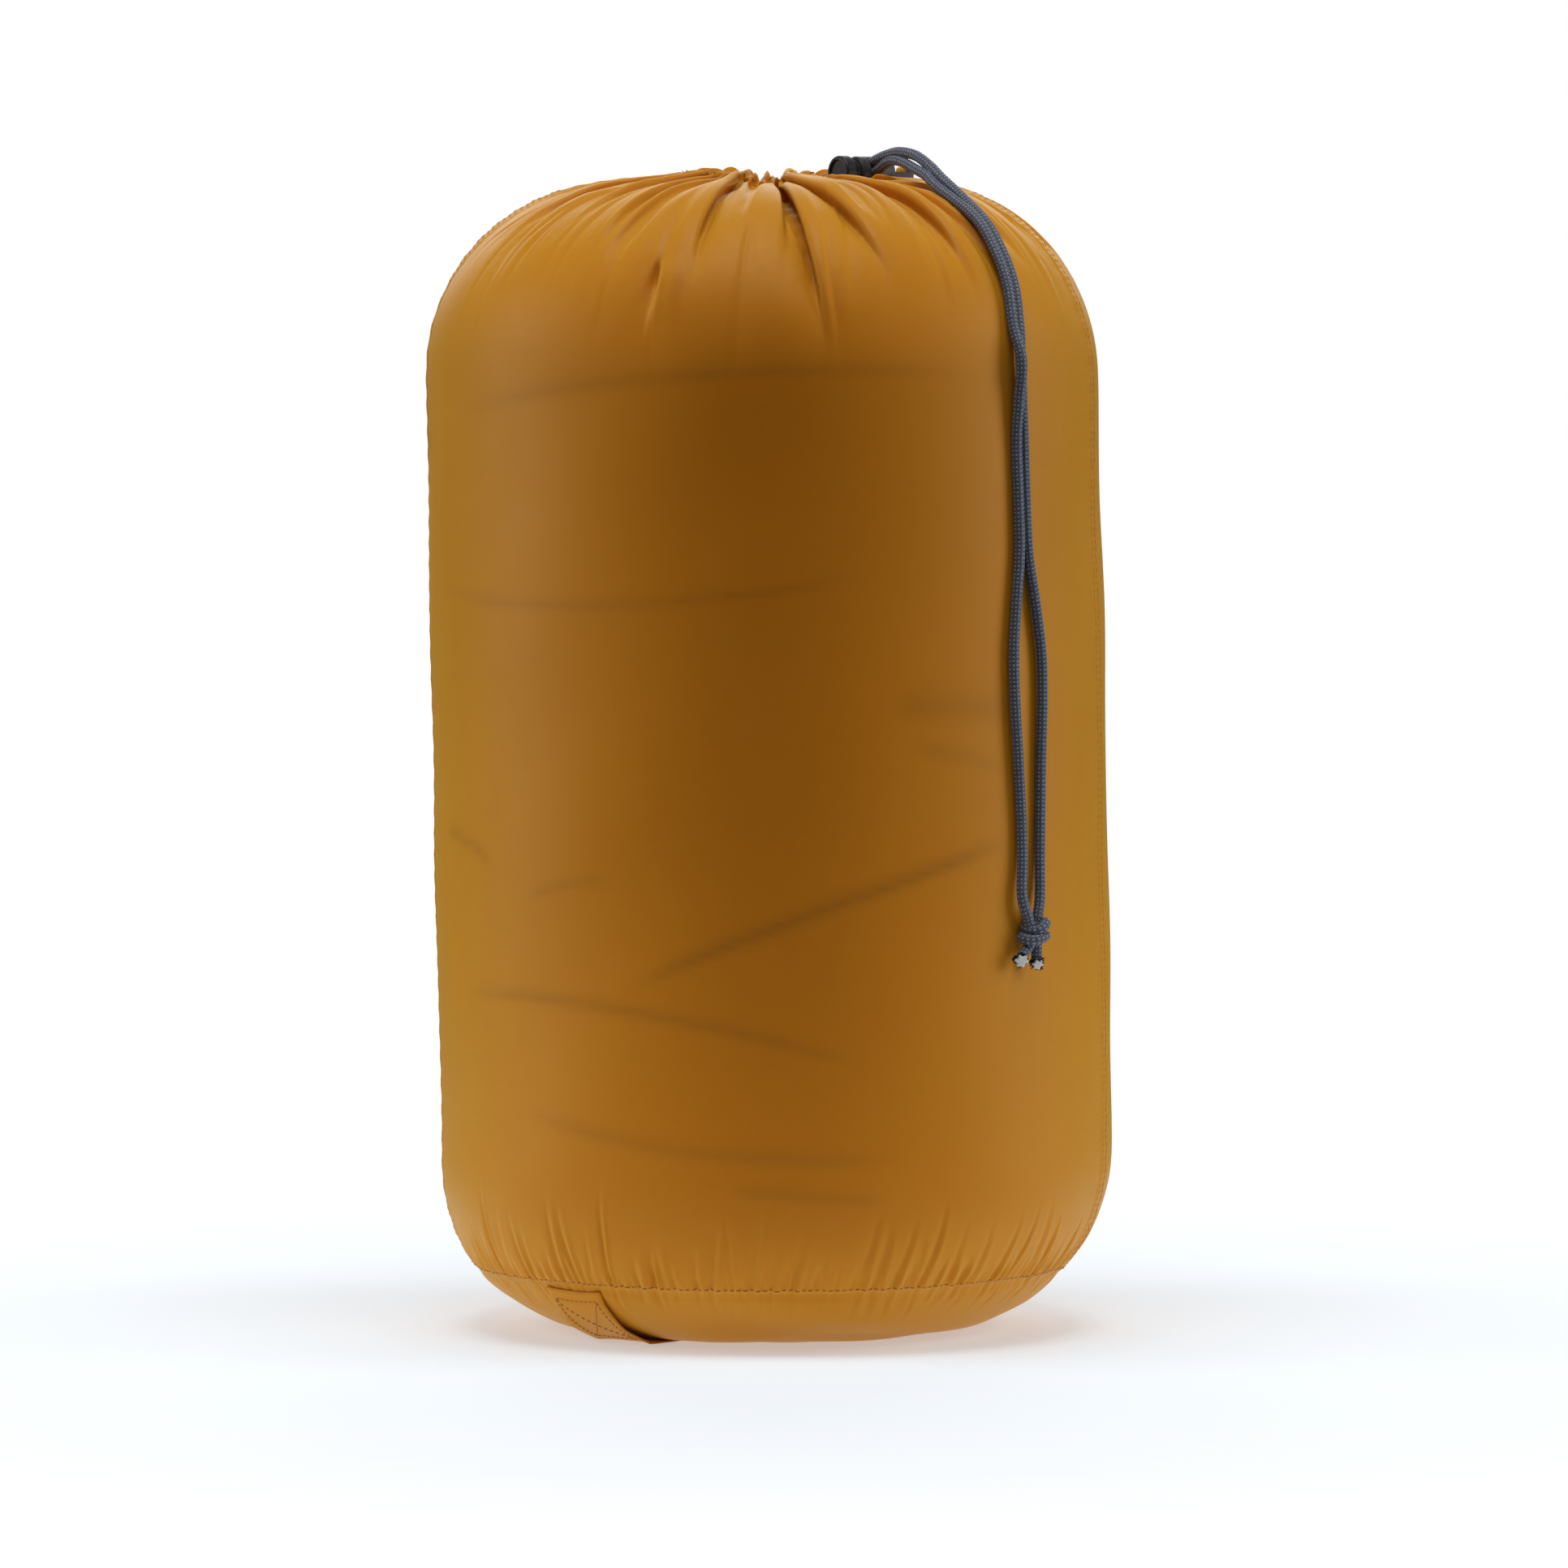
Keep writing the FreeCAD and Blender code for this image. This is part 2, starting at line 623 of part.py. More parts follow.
def core_tips():
    """The melted core showing below each cut end."""
    cores = []
    for side in (1, -1):
        start, direction = cut_end(side)
        start += direction * size("stub_length + stub_root + joint_gap")
        cores.append(Part.makeCylinder(size("core_radius"), size("core_length"), start, direction))
    solid_feature("cord_core_tips", Part.Compound(cores))


def drawcord_loop():
    """The drawcord inside the casing, open where its two ends leave."""
    ring = doc.addObject("Part::Torus", "LoopRing")
    bind(ring, Radius1="loop_radius", Radius2="cord_radius", Angle3="360 - loop_opening")
    ring.Placement = Placement(Vector(0, 0, size("loop_height")),
                               Rotation(UP, size("loop_opening") / 2))
    subpart(ring, "drawcord_loop")


def casing():
    """The gathered hem round the mouth, with its tunnel, gathers and cord exit."""
    body = turned_body("Casing", [
        ("casing_inner", "casing_bottom"),
        ("casing_outer", "casing_bottom"),
        ("casing_outer", "casing_top - casing_round", "casing_round", -1),
        ("casing_outer - casing_round", "casing_top"),
        ("casing_inner + casing_round", "casing_top", "casing_round", -1),
        ("casing_inner", "casing_top - casing_round"),
    ])
    pleat = new_sketch(body, "pleat_outline", "YZ_Plane")
    pleat.addGeometry(Part.Circle(Vector(0, size("casing_top"), 0), UP, size("pleat_radius")))
    pleat.addConstraint(Sketcher.Constraint("PointOnObject", 0, 3, -2))
    pin = pleat.addConstraint(
        Sketcher.Constraint("DistanceY", -1, 1, 0, 3, size("casing_top")))
    pleat.setExpression(f"Constraints[{pin}]", with_sheet("casing_top"))
    round_size = pleat.addConstraint(Sketcher.Constraint("Radius", 0, size("pleat_radius")))
    pleat.setExpression(f"Constraints[{round_size}]", with_sheet("pleat_radius"))
    doc.recompute()
    before = body.Shape.Volume
    groove = body.newObject("PartDesign::Pocket", "pleat_groove")
    groove.Profile = pleat
    groove.Type = 0
    groove.Reversed = True
    bind(groove, Length="casing_outer")
    doc.recompute()
    if body.Shape.Volume > before - 1:
        raise RuntimeError("the casing's first gather cut nothing")
    ring = body.newObject("PartDesign::PolarPattern", "pleats")
    ring.Originals = [groove]
    ring.Axis = (origin_plane(body, "Z_Axis"), [""])
    bind(ring, Angle="360", Occurrences="pleat_count")
    body.Tip = ring
    tunnel = doc.addObject("Part::Torus", "Tunnel")
    bind(tunnel, Radius1="loop_radius", Radius2="cord_radius + cord_gap")
    tunnel.Placement = Placement(Vector(0, 0, size("loop_height")), Rotation())
    exits = doc.addObject("Part::Feature", "CordExits")
    wide = size("cord_radius + cord_gap")
    exits.Shape = arch_strand(1, wide).fuse(arch_strand(-1, wide))
    holes = fuse_all("CasingHoles", [tunnel, exits])
    subpart(combine("Cut", "CasingCut", body, holes), "drawcord_casing")


# -------------------------------------------------------------------- threads

def ring_thread(name, label, radius, height):
    ring = doc.addObject("Part::Torus", name)
    bind(ring, Radius1=radius, Radius2="thread_radius")
    ring.Placement = Placement(Vector(0, 0, size(height)), Rotation())
    subpart(ring, label)


def side_thread(label, azimuth):
    """The stitching of a side seam, along the outline from the base to the casing."""
    lift = size("thread_lift")
    shoulder = size("crown_radius") + lift
    middle = size("body_radius - crown_radius")
    side = size("body_radius") + lift
    crown = size("crown_height")
    low = at_azimuth(azimuth, side, size("side_bottom"))
    high = at_azimuth(azimuth, side, crown)
    bend = math.radians(45)
    half_way = at_azimuth(azimuth, middle + shoulder * math.cos(bend), crown + shoulder * math.sin(bend))
    over = at_azimuth(azimuth, middle, crown + shoulder)
    path = Part.Wire([Part.makeLine(low, high), Part.Arc(high, half_way, over).toShape()])
    solid_feature(label, swept(path, size("thread_radius"), low, UP))


# ------------------------------------------------------------------ cord lock

def lock_place(distance=0.0, height=0.0):
    """The lock's own frame, its X along the barrel from the closed end."""
    centre, axis, along, apart = lock_frame()
    start = centre - axis * (size("hole_place") - distance) + UP * height
    return Placement(start, Rotation(UP, size("lock_yaw")))


def cord_slot(name, start, width, length):
    """The tool that cuts the cord hole, an upright slot tilted to the cord's direction."""
    block = doc.addObject("Part::Box", name)
    deep = "4 * barrel_radius"
    bind(block, Length=width, Width=length, Height=deep)
    roll = Rotation(Vector(1, 0, 0), -size("hole_tilt"))
    corner = roll.multVec(Vector(0, -size(length) / 2, -size(deep) / 2))
    local = Placement(Vector(size(start), 0, 0) + corner, roll)
    block.Placement = lock_place() * local
    return block


def lock_barrel():
    """The barrel: a tube closed at one end, with a tail plate for the tether."""
    tube = turned_body("Barrel", [
        ("0", "0"),
        ("0", "barrel_radius - barrel_chamfer"),
        ("barrel_chamfer", "barrel_radius"),
        ("barrel_length - barrel_lip", "barrel_radius"),
        ("barrel_length", "barrel_radius - barrel_lip"),
        ("barrel_length", "bore_radius"),
        ("barrel_wall", "bore_radius"),
        ("barrel_wall", "0"),
    ], "360", "H_Axis")
    tube.Placement = lock_place()
    plate = doc.addObject("Part::Box", "TailPlate")
    bind(plate, Length="tail_length + tail_root", Width="tail_width", Height="tail_thick")
    plate.Placement = lock_place() * Placement(
        Vector(-size("tail_length"), -size("tail_width") / 2, -size("tail_drop")), Rotation())
    slot = doc.addObject("Part::Box", "TetherSlot")
    bind(slot, Length="slot_width", Width="slot_length", Height="3 * tail_thick")
    slot.Placement = lock_place() * Placement(
        Vector(-size("slot_start + slot_width"), -size("slot_length") / 2, -size("2 * tail_thick")),
        Rotation())
    rounded = doc.addObject("Part::Fillet", "TailRound")
    rounded.Base = plate
    doc.recompute()
    upright = [
        number for number, edge in enumerate(plate.Shape.Edges, start=1)
        if abs(edge.tangentAt(edge.FirstParameter).z) > 0.9
        and edge.CenterOfMass.distanceToPoint(lock_place().Base) > size("tail_length")
    ]
    rounded.Edges = [(number, size("tail_round"), size("tail_round")) for number in upright]
    solid = fuse_all("BarrelSolid", [tube, rounded])
    hole = cord_slot("BarrelHole", "hole_place - hole_width / 2", "hole_width", "hole_length")
    tools = fuse_all("BarrelHoles", [slot, hole])
    subpart(combine("Cut", "BarrelCut", solid, tools), "lock_barrel")


def lock_button():
    """The push button: a plunger with the cord slot, and a round dished head."""
    head_end = "head_start + head_thick"
    body = turned_body("Button", [
        ("plunger_start", "0"),
        ("plunger_start", "plunger_radius"),
        ("head_start", "plunger_radius"),
        ("head_start", "head_radius - head_chamfer"),
        ("head_start + head_chamfer", "head_radius"),
        (f"{head_end} - head_round", "head_radius", "head_round", 1),
        (head_end, "head_radius - head_round"),
        (head_end, "dish_radius + dish_slope"),
        (f"{head_end} - dish_depth", "dish_radius"),
        (f"{head_end} - dish_depth", "0"),
    ], "360", "H_Axis")
    body.Placement = lock_place()
    slot = cord_slot("PlungerSlot", "plunger_start + slot_inset",
                     "2 * cord_radius + press_travel + slot_play", "hole_length - slot_step")
    subpart(combine("Cut", "ButtonCut", body, slot), "lock_button")


def lock_spring():
    """The spring that pushes the button out."""
    wire = size("spring_wire")
    start = size("barrel_wall + spring_wire + spring_gap")
    room = size("plunger_start - barrel_wall - 2 * (spring_wire + spring_gap)")
    radius = size("spring_radius")
    helix = Part.makeHelix(size("spring_pitch"), room, radius)
    circle = Part.Wire([Part.Circle(Vector(radius, 0, 0), Vector(0, 1, 0), wire).toShape()])
    coil = Part.Wire(helix.Edges).makePipeShell([circle], True, True)
    along_axis = Placement(Vector(start, 0, 0), Rotation(UP, Vector(1, 0, 0)))
    solid_feature("lock_spring", coil, lock_place() * along_axis)


def tether_tab():
    """The fabric tab that holds the lock: a loop through the tail slot and a sewn foot."""
    thick = size("tab_thick")
    width = size("tab_width")
    bar_far = size("-tail_length - tab_gap")
    bar_near = size("tab_gap - slot_start - slot_width")
    low = size("-tail_drop - tab_gap")
    high = size("tail_thick - tail_drop + slide_travel / 2 + tab_gap")
    foot = bar_far - size("tab_foot")
    side = size("slot_length / 2 - tab_side_gap - tab_width")

    def block(first, last, bottom, top):
        shape = Part.makeBox(last - first, width, top - bottom)
        shape.translate(Vector(first, side, bottom))
        return shape

    ring = block(bar_far - thick, bar_near + thick, low - thick, high + thick)
    ring = ring.cut(block(bar_far, bar_near, low, high))
    shape = ring.fuse(block(foot, bar_far, low - thick, low)).removeSplitter()
    solid_feature("tether_tab", shape, lock_place())
    bars = []
    for step in range(int(size("bar_count"))):
        place = foot + size("bar_inset") + step * size("bar_pitch")
        bar = Part.makeBox(size("bar_width"), size("tab_width - 2 * bar_side_gap"), size("bar_height"))
        bar.translate(Vector(place, side + size("bar_side_gap"), low + size("bar_lift")))
        bars.append(bar)
    solid_feature("tether_bar_tack", Part.Compound(bars), lock_place())


# -------------------------------------------------------------------- assembly

panel("FrontPanel", "front_panel", "seam_gap - 90 - left_seam", "left_seam + right_seam - 2 * seam_gap")
panel("BackPanel", "back_panel", "seam_gap - 90 + right_seam", "360 - left_seam - right_seam - 2 * seam_gap")
base_panel()
contents()
casing()
drawcord_loop()
arch()
cord_tails()
knot()
core_tips()
ring_thread("BaseThread", "base_seam_thread", "seam_radius + thread_lift", "seam_height")
ring_thread("CasingThread", "casing_thread", "body_radius - crown_radius",
            "crown_height + crown_radius + thread_lift")
side_thread("right_seam_thread", size("right_seam"))
side_thread("left_seam_thread", -size("left_seam"))
pull_handle()
handle_stitching("handle_front_stitching", 1)
handle_stitching("handle_rear_stitching", -1)
lock_barrel()
lock_button()
lock_spring()
tether_tab()
doc.recompute()

for thing in doc.Objects:
    if {"Invalid", "Error"} & set(thing.State):
        raise RuntimeError(f"{thing.Name} failed to build: {thing.State}")
for thing in SUBPARTS:
    if thing.Shape.isNull() or not thing.Shape.isValid() or not thing.Shape.Solids:
        raise RuntimeError(f"{thing.Label} has no valid solid")

os.makedirs("parts", exist_ok=True)
for thing in SUBPARTS:
    thing.Shape.exportStep(os.path.join("parts", f"{thing.Label}.step"))
    print(f"{thing.Label}: {len(thing.Shape.Solids)} solid(s), {thing.Shape.Volume:.1f} mm3")
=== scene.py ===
"""A full nylon stuff sack: its cloth, seams, drawcord, cord lock and pull handle, in metres.

The sack's skin is a tube of cloth, gathered at both ends and blown up by Blender's cloth solver.
Everything else is built on the surface that comes out. Azimuths are in degrees from the front
(-Y), turning towards +X, and heights are above the ground.
"""

import json
import math

import bpy
import numpy as np
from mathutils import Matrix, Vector


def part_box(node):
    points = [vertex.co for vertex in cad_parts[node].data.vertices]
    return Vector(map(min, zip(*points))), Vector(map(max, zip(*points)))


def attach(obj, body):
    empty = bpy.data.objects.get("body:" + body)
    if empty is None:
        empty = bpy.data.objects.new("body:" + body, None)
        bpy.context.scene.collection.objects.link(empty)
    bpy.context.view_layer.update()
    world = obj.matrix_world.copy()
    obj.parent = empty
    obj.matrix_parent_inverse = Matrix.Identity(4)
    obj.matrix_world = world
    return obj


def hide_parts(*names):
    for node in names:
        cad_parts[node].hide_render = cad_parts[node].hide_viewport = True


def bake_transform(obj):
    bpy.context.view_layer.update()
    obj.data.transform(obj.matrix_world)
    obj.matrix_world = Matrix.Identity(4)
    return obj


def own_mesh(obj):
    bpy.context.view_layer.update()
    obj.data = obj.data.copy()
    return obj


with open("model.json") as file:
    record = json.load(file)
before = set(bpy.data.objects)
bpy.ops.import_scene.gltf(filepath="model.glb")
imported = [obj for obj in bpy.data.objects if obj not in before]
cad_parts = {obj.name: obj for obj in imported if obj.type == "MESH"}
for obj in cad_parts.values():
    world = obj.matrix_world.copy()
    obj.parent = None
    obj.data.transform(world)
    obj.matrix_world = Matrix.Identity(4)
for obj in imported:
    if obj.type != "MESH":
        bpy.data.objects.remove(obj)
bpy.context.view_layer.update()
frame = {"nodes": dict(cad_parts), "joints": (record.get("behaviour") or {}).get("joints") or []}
joints = {joint["name"]: joint for joint in frame["joints"]}
random = np.random.default_rng(20)

# ---------------------------------------------------------------------- sizes

MM = 0.001

# The skin's outline.
BODY_RADIUS = -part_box("front_panel")[0].x
SEAM_RADIUS = 0.106
SEAM_HEIGHT = 0.0215
HEEL_RADIUS = 0.060
SHOULDER_RADIUS = 0.068
SHOULDER_HEIGHT = 0.343
SHOULDER_TURN = 84
MOUTH_RADIUS = 0.034
PATCH_RADIUS = 0.062
BASE_CURVE = 0.0558
RIGHT_SEAM = 77
LEFT_SEAM = -91

# The cloth grid: columns round the sack, and how much finer the finished surface is.
COLUMNS = 360
FINER_AROUND = 3
FINER_ALONG = 2
CLOTH_FRAMES = 22
CLOTH_SCALE = 10
CLOTH_PRESSURE = 3.0
CLOTH_GATHER = 2.2
CLOTH_TUBE = 0.1192
COLUMNS_IN_CREASE = 2.4

# The drawcord and its lock.
CORD_RADIUS = 1.75 * MM
STRAND_OFFSET = 1.9 * MM
TAIL_AT = Vector(joints["tail_lift"]["pos_m"])
TAIL_AZIMUTH = math.degrees(math.atan2(TAIL_AT.x, -TAIL_AT.y))
TAIL_RADIUS = math.hypot(TAIL_AT.x, TAIL_AT.y)
LOCK_AXIS = -Vector(joints["button_press"]["axis"]).normalized()
CORD_RUN = Vector(joints["lock_slide"]["axis"]).normalized()
SPRING_TO_HOLE = 5.85 * MM
LOCK_HOLE = sum(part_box("lock_spring"), Vector()) / 2 + LOCK_AXIS * SPRING_TO_HOLE
LOOP_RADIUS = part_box("drawcord_loop")[1].x - CORD_RADIUS
LOOP_HEIGHT = 0.4045

# The pull handle.
STRAP_ANGLE = 48
STRAP_WIDTH = 0.025
STRAP_THICK = 0.0009
STRAP_HOLD = 0.078
STRAP_END = 0.1045

# -------------------------------------------------------------------- helpers


def smooth_step(value, low, high):
    """A smooth rise from 0 at low to 1 at high."""
    t = np.clip((value - low) / (high - low), 0, 1)
    return t * t * (3 - 2 * t)


def hump(value, middle, half_width):
    """A smooth hump of height 1 round a middle."""
    return np.exp(-(((value - middle) / half_width) ** 2))


def wrapped(angle):
    """An angle in degrees, brought between -180 and 180."""
    return (angle + 180) % 360 - 180


def azimuths(count):
    """Evenly spaced azimuths all the way round, from the back."""
    return np.arange(count) * 360 / count - 180


def unit(vectors):
    """Vectors scaled to length 1."""
    return vectors / np.maximum(np.linalg.norm(vectors, axis=-1, keepdims=True), 1e-12)


def around(azimuth, radius, height):
    """Points at azimuths, radii and heights, which broadcast together."""
    angle = np.radians(azimuth)
    parts = np.broadcast_arrays(radius * np.sin(angle), -radius * np.cos(angle), height)
    return np.stack(parts, -1)


def arc(centre_radius, centre_height, radius, first, last, count):
    """Points (radius, height) on an arc, by its angle above the outward direction."""
    angle = np.radians(np.linspace(first, last, count))
    return np.stack([centre_radius + radius * np.cos(angle), centre_height + radius * np.sin(angle)], 1)


def across_and_up(turn, right, up):
    """Points on a circle of radius 1, at angles from right towards up."""
    return np.cos(turn)[..., None] * right + np.sin(turn)[..., None] * up


def lengths(points):
    """The distance along a line of points to each of them."""
    steps = np.linalg.norm(np.diff(points, axis=0), axis=1)
    return np.concatenate([[0], np.cumsum(steps)])


def at_lengths(points, places):
    """Points at distances along a line of points."""
    along = lengths(points)
    return np.stack([np.interp(places, along, points[:, k]) for k in range(points.shape[1])], 1)


def refined(grid, parts, axis=0, closed=False):
    """A grid with each step divided in parts, along a smooth curve through its points."""
    grid = np.moveaxis(np.asarray(grid, float), axis, 0)
    if closed:
        before, here = np.roll(grid, 1, 0), grid
        after, beyond = np.roll(grid, -1, 0), np.roll(grid, -2, 0)
    else:
        first, last = 2 * grid[:1] - grid[1:2], 2 * grid[-1:] - grid[-2:-1]
        padded = np.concatenate([first, grid, last])
        before, here, after, beyond = padded[:-3], padded[1:-2], padded[2:-1], padded[3:]
    steps = []
    for part in range(parts):
        t = part / parts
        bend = (2 * before - 5 * here + 4 * after - beyond) * t**2
        twist = (3 * here - before - 3 * after + beyond) * t**3
        steps.append((2 * here + (after - before) * t + bend + twist) / 2)
    fine = np.stack(steps, 1).reshape((-1,) + grid.shape[1:])
    if not closed:
        fine = np.concatenate([fine, grid[-1:]])
    return np.moveaxis(fine, 0, axis)


def normals_of(grid):
    """Outward normals of a grid of rows that go up and columns that go round."""
    across = np.roll(grid, -1, 1) - np.roll(grid, 1, 1)
    along = np.gradient(grid, axis=0)
    return unit(np.cross(across, along))


def make_piece(name, points, faces, material, slot, body=None, stands_for=()):
    """A smooth mesh with a material, which rides on a body and stands for CAD nodes; the slot argument is not
    used.
    """
    mesh = bpy.data.meshes.new(name)
    faces = faces if isinstance(faces, list) else faces.tolist()
    mesh.from_pydata(np.asarray(points, float).reshape(-1, 3).tolist(), [], faces)
    mesh.polygons.foreach_set("use_smooth", [True] * len(mesh.polygons))
    mesh.materials.append(material)
    piece = bpy.data.objects.new(name, mesh)
    bpy.context.scene.collection.objects.link(piece)
    if body:
        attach(piece, body)
    if stands_for:
        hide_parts(*stands_for)
    return piece


def quads(rows, columns, closed):
    """Faces of a grid of points, with its last column joined to its first if closed."""
    index = np.arange(rows * columns).reshape(rows, columns)
    right = np.roll(index, -1, 1)
    faces = np.stack([index[:-1], right[:-1], right[1:], index[1:]], -1)
    if not closed:
        faces = faces[:, :-1]
    return faces.reshape(-1, 4)


def add_values(piece, name, values):
    """A number on every point of a piece, for its material to read."""
    layer = piece.data.attributes.new(name, "FLOAT", "POINT")
    layer.data.foreach_set("value", np.asarray(values, np.float32).ravel())


def joined(parts):
    """Points and faces of several parts as one mesh."""
    points, faces = [], []
    count = 0
    for more_points, more_faces in parts:
        points.append(more_points)
        faces += [[corner + count for corner in face] for face in more_faces]
        count += len(more_points)
    return np.concatenate(points), faces


def closed_rings(rows, columns):
    """Faces of rings of points, with a flat face on each end."""
    last = (rows - 1) * columns
    ends = [list(range(columns))[::-1], list(range(last, last + columns))]
    return quads(rows, columns, True).tolist() + ends


def add_weave_map(piece, columns, row_places, column_step):
    """Cloth coordinates in metres for a grid of points, so that the weave follows the cloth."""
    layer = piece.data.uv_layers.new(name="cloth")
    corner = np.empty(len(piece.data.loops), np.int64)
    piece.data.loops.foreach_get("vertex_index", corner)
    row, column = np.divmod(corner, columns)
    of_face = column.reshape(-1, 4)
    seam = (of_face.max(1) - of_face.min(1)) > columns / 2
    column = np.where(np.repeat(seam, 4) & (column == 0), columns, column)
    coordinates = np.stack([column * column_step, row_places[row]], 1)
    layer.data.foreach_set("uv", coordinates.astype(np.float32).ravel())


def tube(line, radius, sides):
    """Points and faces of a tube along a line, with one radius or one for each point and side."""
    line = np.asarray(line, float)
    heading = unit(np.gradient(line, axis=0))
    side = np.cross(heading[0], [0.0, 0.0, 1.0])
    if np.linalg.norm(side) < 0.1:
        side = np.cross(heading[0], [1.0, 0.0, 0.0])
    sideways = np.empty_like(line)
    for k, forward in enumerate(heading):
        side = unit(side - forward * (side @ forward))
        sideways[k] = side
    upward = np.cross(heading, sideways)
    angle = np.linspace(0, 2 * math.pi, sides, endpoint=False)
    reach = np.broadcast_to(np.asarray(radius, float), (len(line), sides))[..., None]
    ring = across_and_up(angle, sideways[:, None], upward[:, None])
    points = (line[:, None] + reach * ring).reshape(-1, 3)
    return points, quads(len(line), sides, True)


def capped(points, faces, sides):
    """A tube with a point added to close each end."""
    count = len(points)
    index = np.arange(sides)
    following = np.roll(index, -1)
    start = np.stack([following, index, np.full(sides, count)], 1)
    last = count - sides
    end = np.stack([last + index, last + following, np.full(sides, count + 1)], 1)
    points = np.concatenate([points, [points[:sides].mean(0)], [points[last:].mean(0)]])
    return points, faces.tolist() + start.tolist() + end.tolist()


# ------------------------------------------------------------------ materials


def new_material(name, color, roughness, **values):
    """A principled material, and helpers that add a node, link an input and add relief."""
    material = bpy.data.materials.new(name)
    material.use_nodes = True
    tree = material.node_tree
    surface = tree.nodes["Principled BSDF"]
    surface.inputs["Base Color"].default_value = (*color, 1)
    surface.inputs["Roughness"].default_value = roughness
    for socket, value in values.items():
        surface.inputs[socket.replace("_", " ")].default_value = value

    def node(kind, inputs=None, **settings):
        new = tree.nodes.new(kind)
        for setting, value in settings.items():
            setattr(new, setting, value)
        for socket, value in (inputs or {}).items():
            if isinstance(value, bpy.types.NodeSocket):
                tree.links.new(value, new.inputs[socket])
            else:
                new.inputs[socket].default_value = value
        return new

    def into(socket, value):
        tree.links.new(value, surface.inputs[socket])

    def relief(height, strength, depth):
        bump = node("ShaderNodeBump", {"Height": height, "Strength": strength, "Distance": depth})
        for link in surface.inputs["Normal"].links:
            tree.links.new(link.from_socket, bump.inputs["Normal"])
        into("Normal", bump.outputs["Normal"])

    return material, node, into, relief


def mixed(node, factor, first, second):
    """A blend of two colours, each of them red, green and blue or an output of a node."""
    colors = [color if isinstance(color, bpy.types.NodeSocket) else (*color, 1) for color in (first, second)]
    return node("ShaderNodeMix", {0: factor, 6: colors[0], 7: colors[1]}, data_type="RGBA").outputs[2]


def noise(node, scale, detail=3.0, roughness=0.5, vector=None):
    """Noise from 0 to 1, in the object's own coordinates unless a vector is given."""
    inputs = {"Scale": scale, "Detail": detail, "Roughness": roughness}
    inputs["Vector"] = vector or node("ShaderNodeTexCoord").outputs["Object"]
    return node("ShaderNodeTexNoise", inputs).outputs["Fac"]


def between(node, value, low, high):
    """A value from 0 to 1, changed to run from low to high."""
    return node("ShaderNodeMapRange", {"Value": value, "To Min": low, "To Max": high}).outputs["Result"]


def stretched(node, value, low, high, top=1.0, **settings):
    """A value that runs from low to high, changed to run from 0 to top."""
    limits = {"Value": value, "From Min": low, "From Max": high, "To Max": top}
    return node("ShaderNodeMapRange", limits, **settings).outputs["Result"]


# The braid attribute's value in the gaps between the carriers, where the painted shade is darkest, which
# loose yarns have too.
GAP_SHADE = 0.12

# Taffeta's colour seen square on, a paler painted sheen seen edge on, deeper in its weave, and painted shade
# over a fold of the fill.
FABRIC = (0.66, 0.205, 0.008)
FABRIC_PAINTED_EDGE_SHEEN = (0.66, 0.350, 0.024)
FABRIC_DEEP = (0.50, 0.170, 0.007)
FABRIC_PAINTED_FOLD_SHADE = (0.34, 0.125, 0.012)


def taffeta():
    """Golden nylon taffeta: a fine plain weave with a faint sheen, a paler painted sheen where it turns edge
    on, and painted shade over the folds of the fill.
    """
    material, node, into, relief = new_material(
        "taffeta", FABRIC, 0.46, Specular_IOR_Level=0.24, Specular_Tint=(1.0, 0.80, 0.45, 1),
        Sheen_Weight=0.05, Sheen_Roughness=0.35, Sheen_Tint=(1.0, 0.75, 0.35, 1))
    # Painted sheen: paler and yellower where the cloth turns edge on to the camera.
    painted_sheen_facing = node("ShaderNodeLayerWeight", {"Blend": 0.5}).outputs["Facing"]
    painted_sheen_facing = node("ShaderNodeMath", {0: painted_sheen_facing, 1: 0.75}, operation="POWER").outputs[0]
    color = mixed(node, painted_sheen_facing, FABRIC, FABRIC_PAINTED_EDGE_SHEEN)
    color = mixed(node, between(node, noise(node, 11, 3), 0.0, 0.5), color, FABRIC_DEEP)
    shade = node("ShaderNodeAttribute", attribute_name="painted_fold_shade").outputs["Fac"]
    # Painted shade where folds of the fill show through the thin cloth.
    color = mixed(node, shade, color, FABRIC_PAINTED_FOLD_SHADE)
    cloth = node("ShaderNodeUVMap", uv_map="cloth").outputs["UV"]
    slubs = []
    for stretch in ((60, 2600, 1), (2600, 60, 1)):
        along = node("ShaderNodeMapping", {"Vector": cloth, "Scale": stretch}).outputs["Vector"]
        slubs.append(noise(node, 1.0, 2, 0.6, along))
    weave = node("ShaderNodeMath", {0: slubs[0], 1: slubs[1]}, operation="ADD").outputs[0]
    into("Base Color", mixed(node, stretched(node, weave, 0.7, 1.3, 0.16), color, FABRIC_DEEP))
    into("Roughness", between(node, noise(node, 60, 4), 0.42, 0.54))
    relief(weave, 0.25, 0.02 * MM)
    relief(noise(node, 260, 4, 0.55), 0.22, 0.14 * MM)
    return material


def sewing_thread():
    """Golden thread, mottled by its twist."""
    material, node, into, relief = new_material(
        "sewing_thread", (0.45, 0.17, 0.012), 0.55, Sheen_Weight=0.1)
    twist = noise(node, 2500, 2)
    into("Base Color", mixed(node, twist, (0.56, 0.235, 0.02), (0.32, 0.11, 0.008)))
    relief(twist, 0.4, 0.05 * MM)
    return material


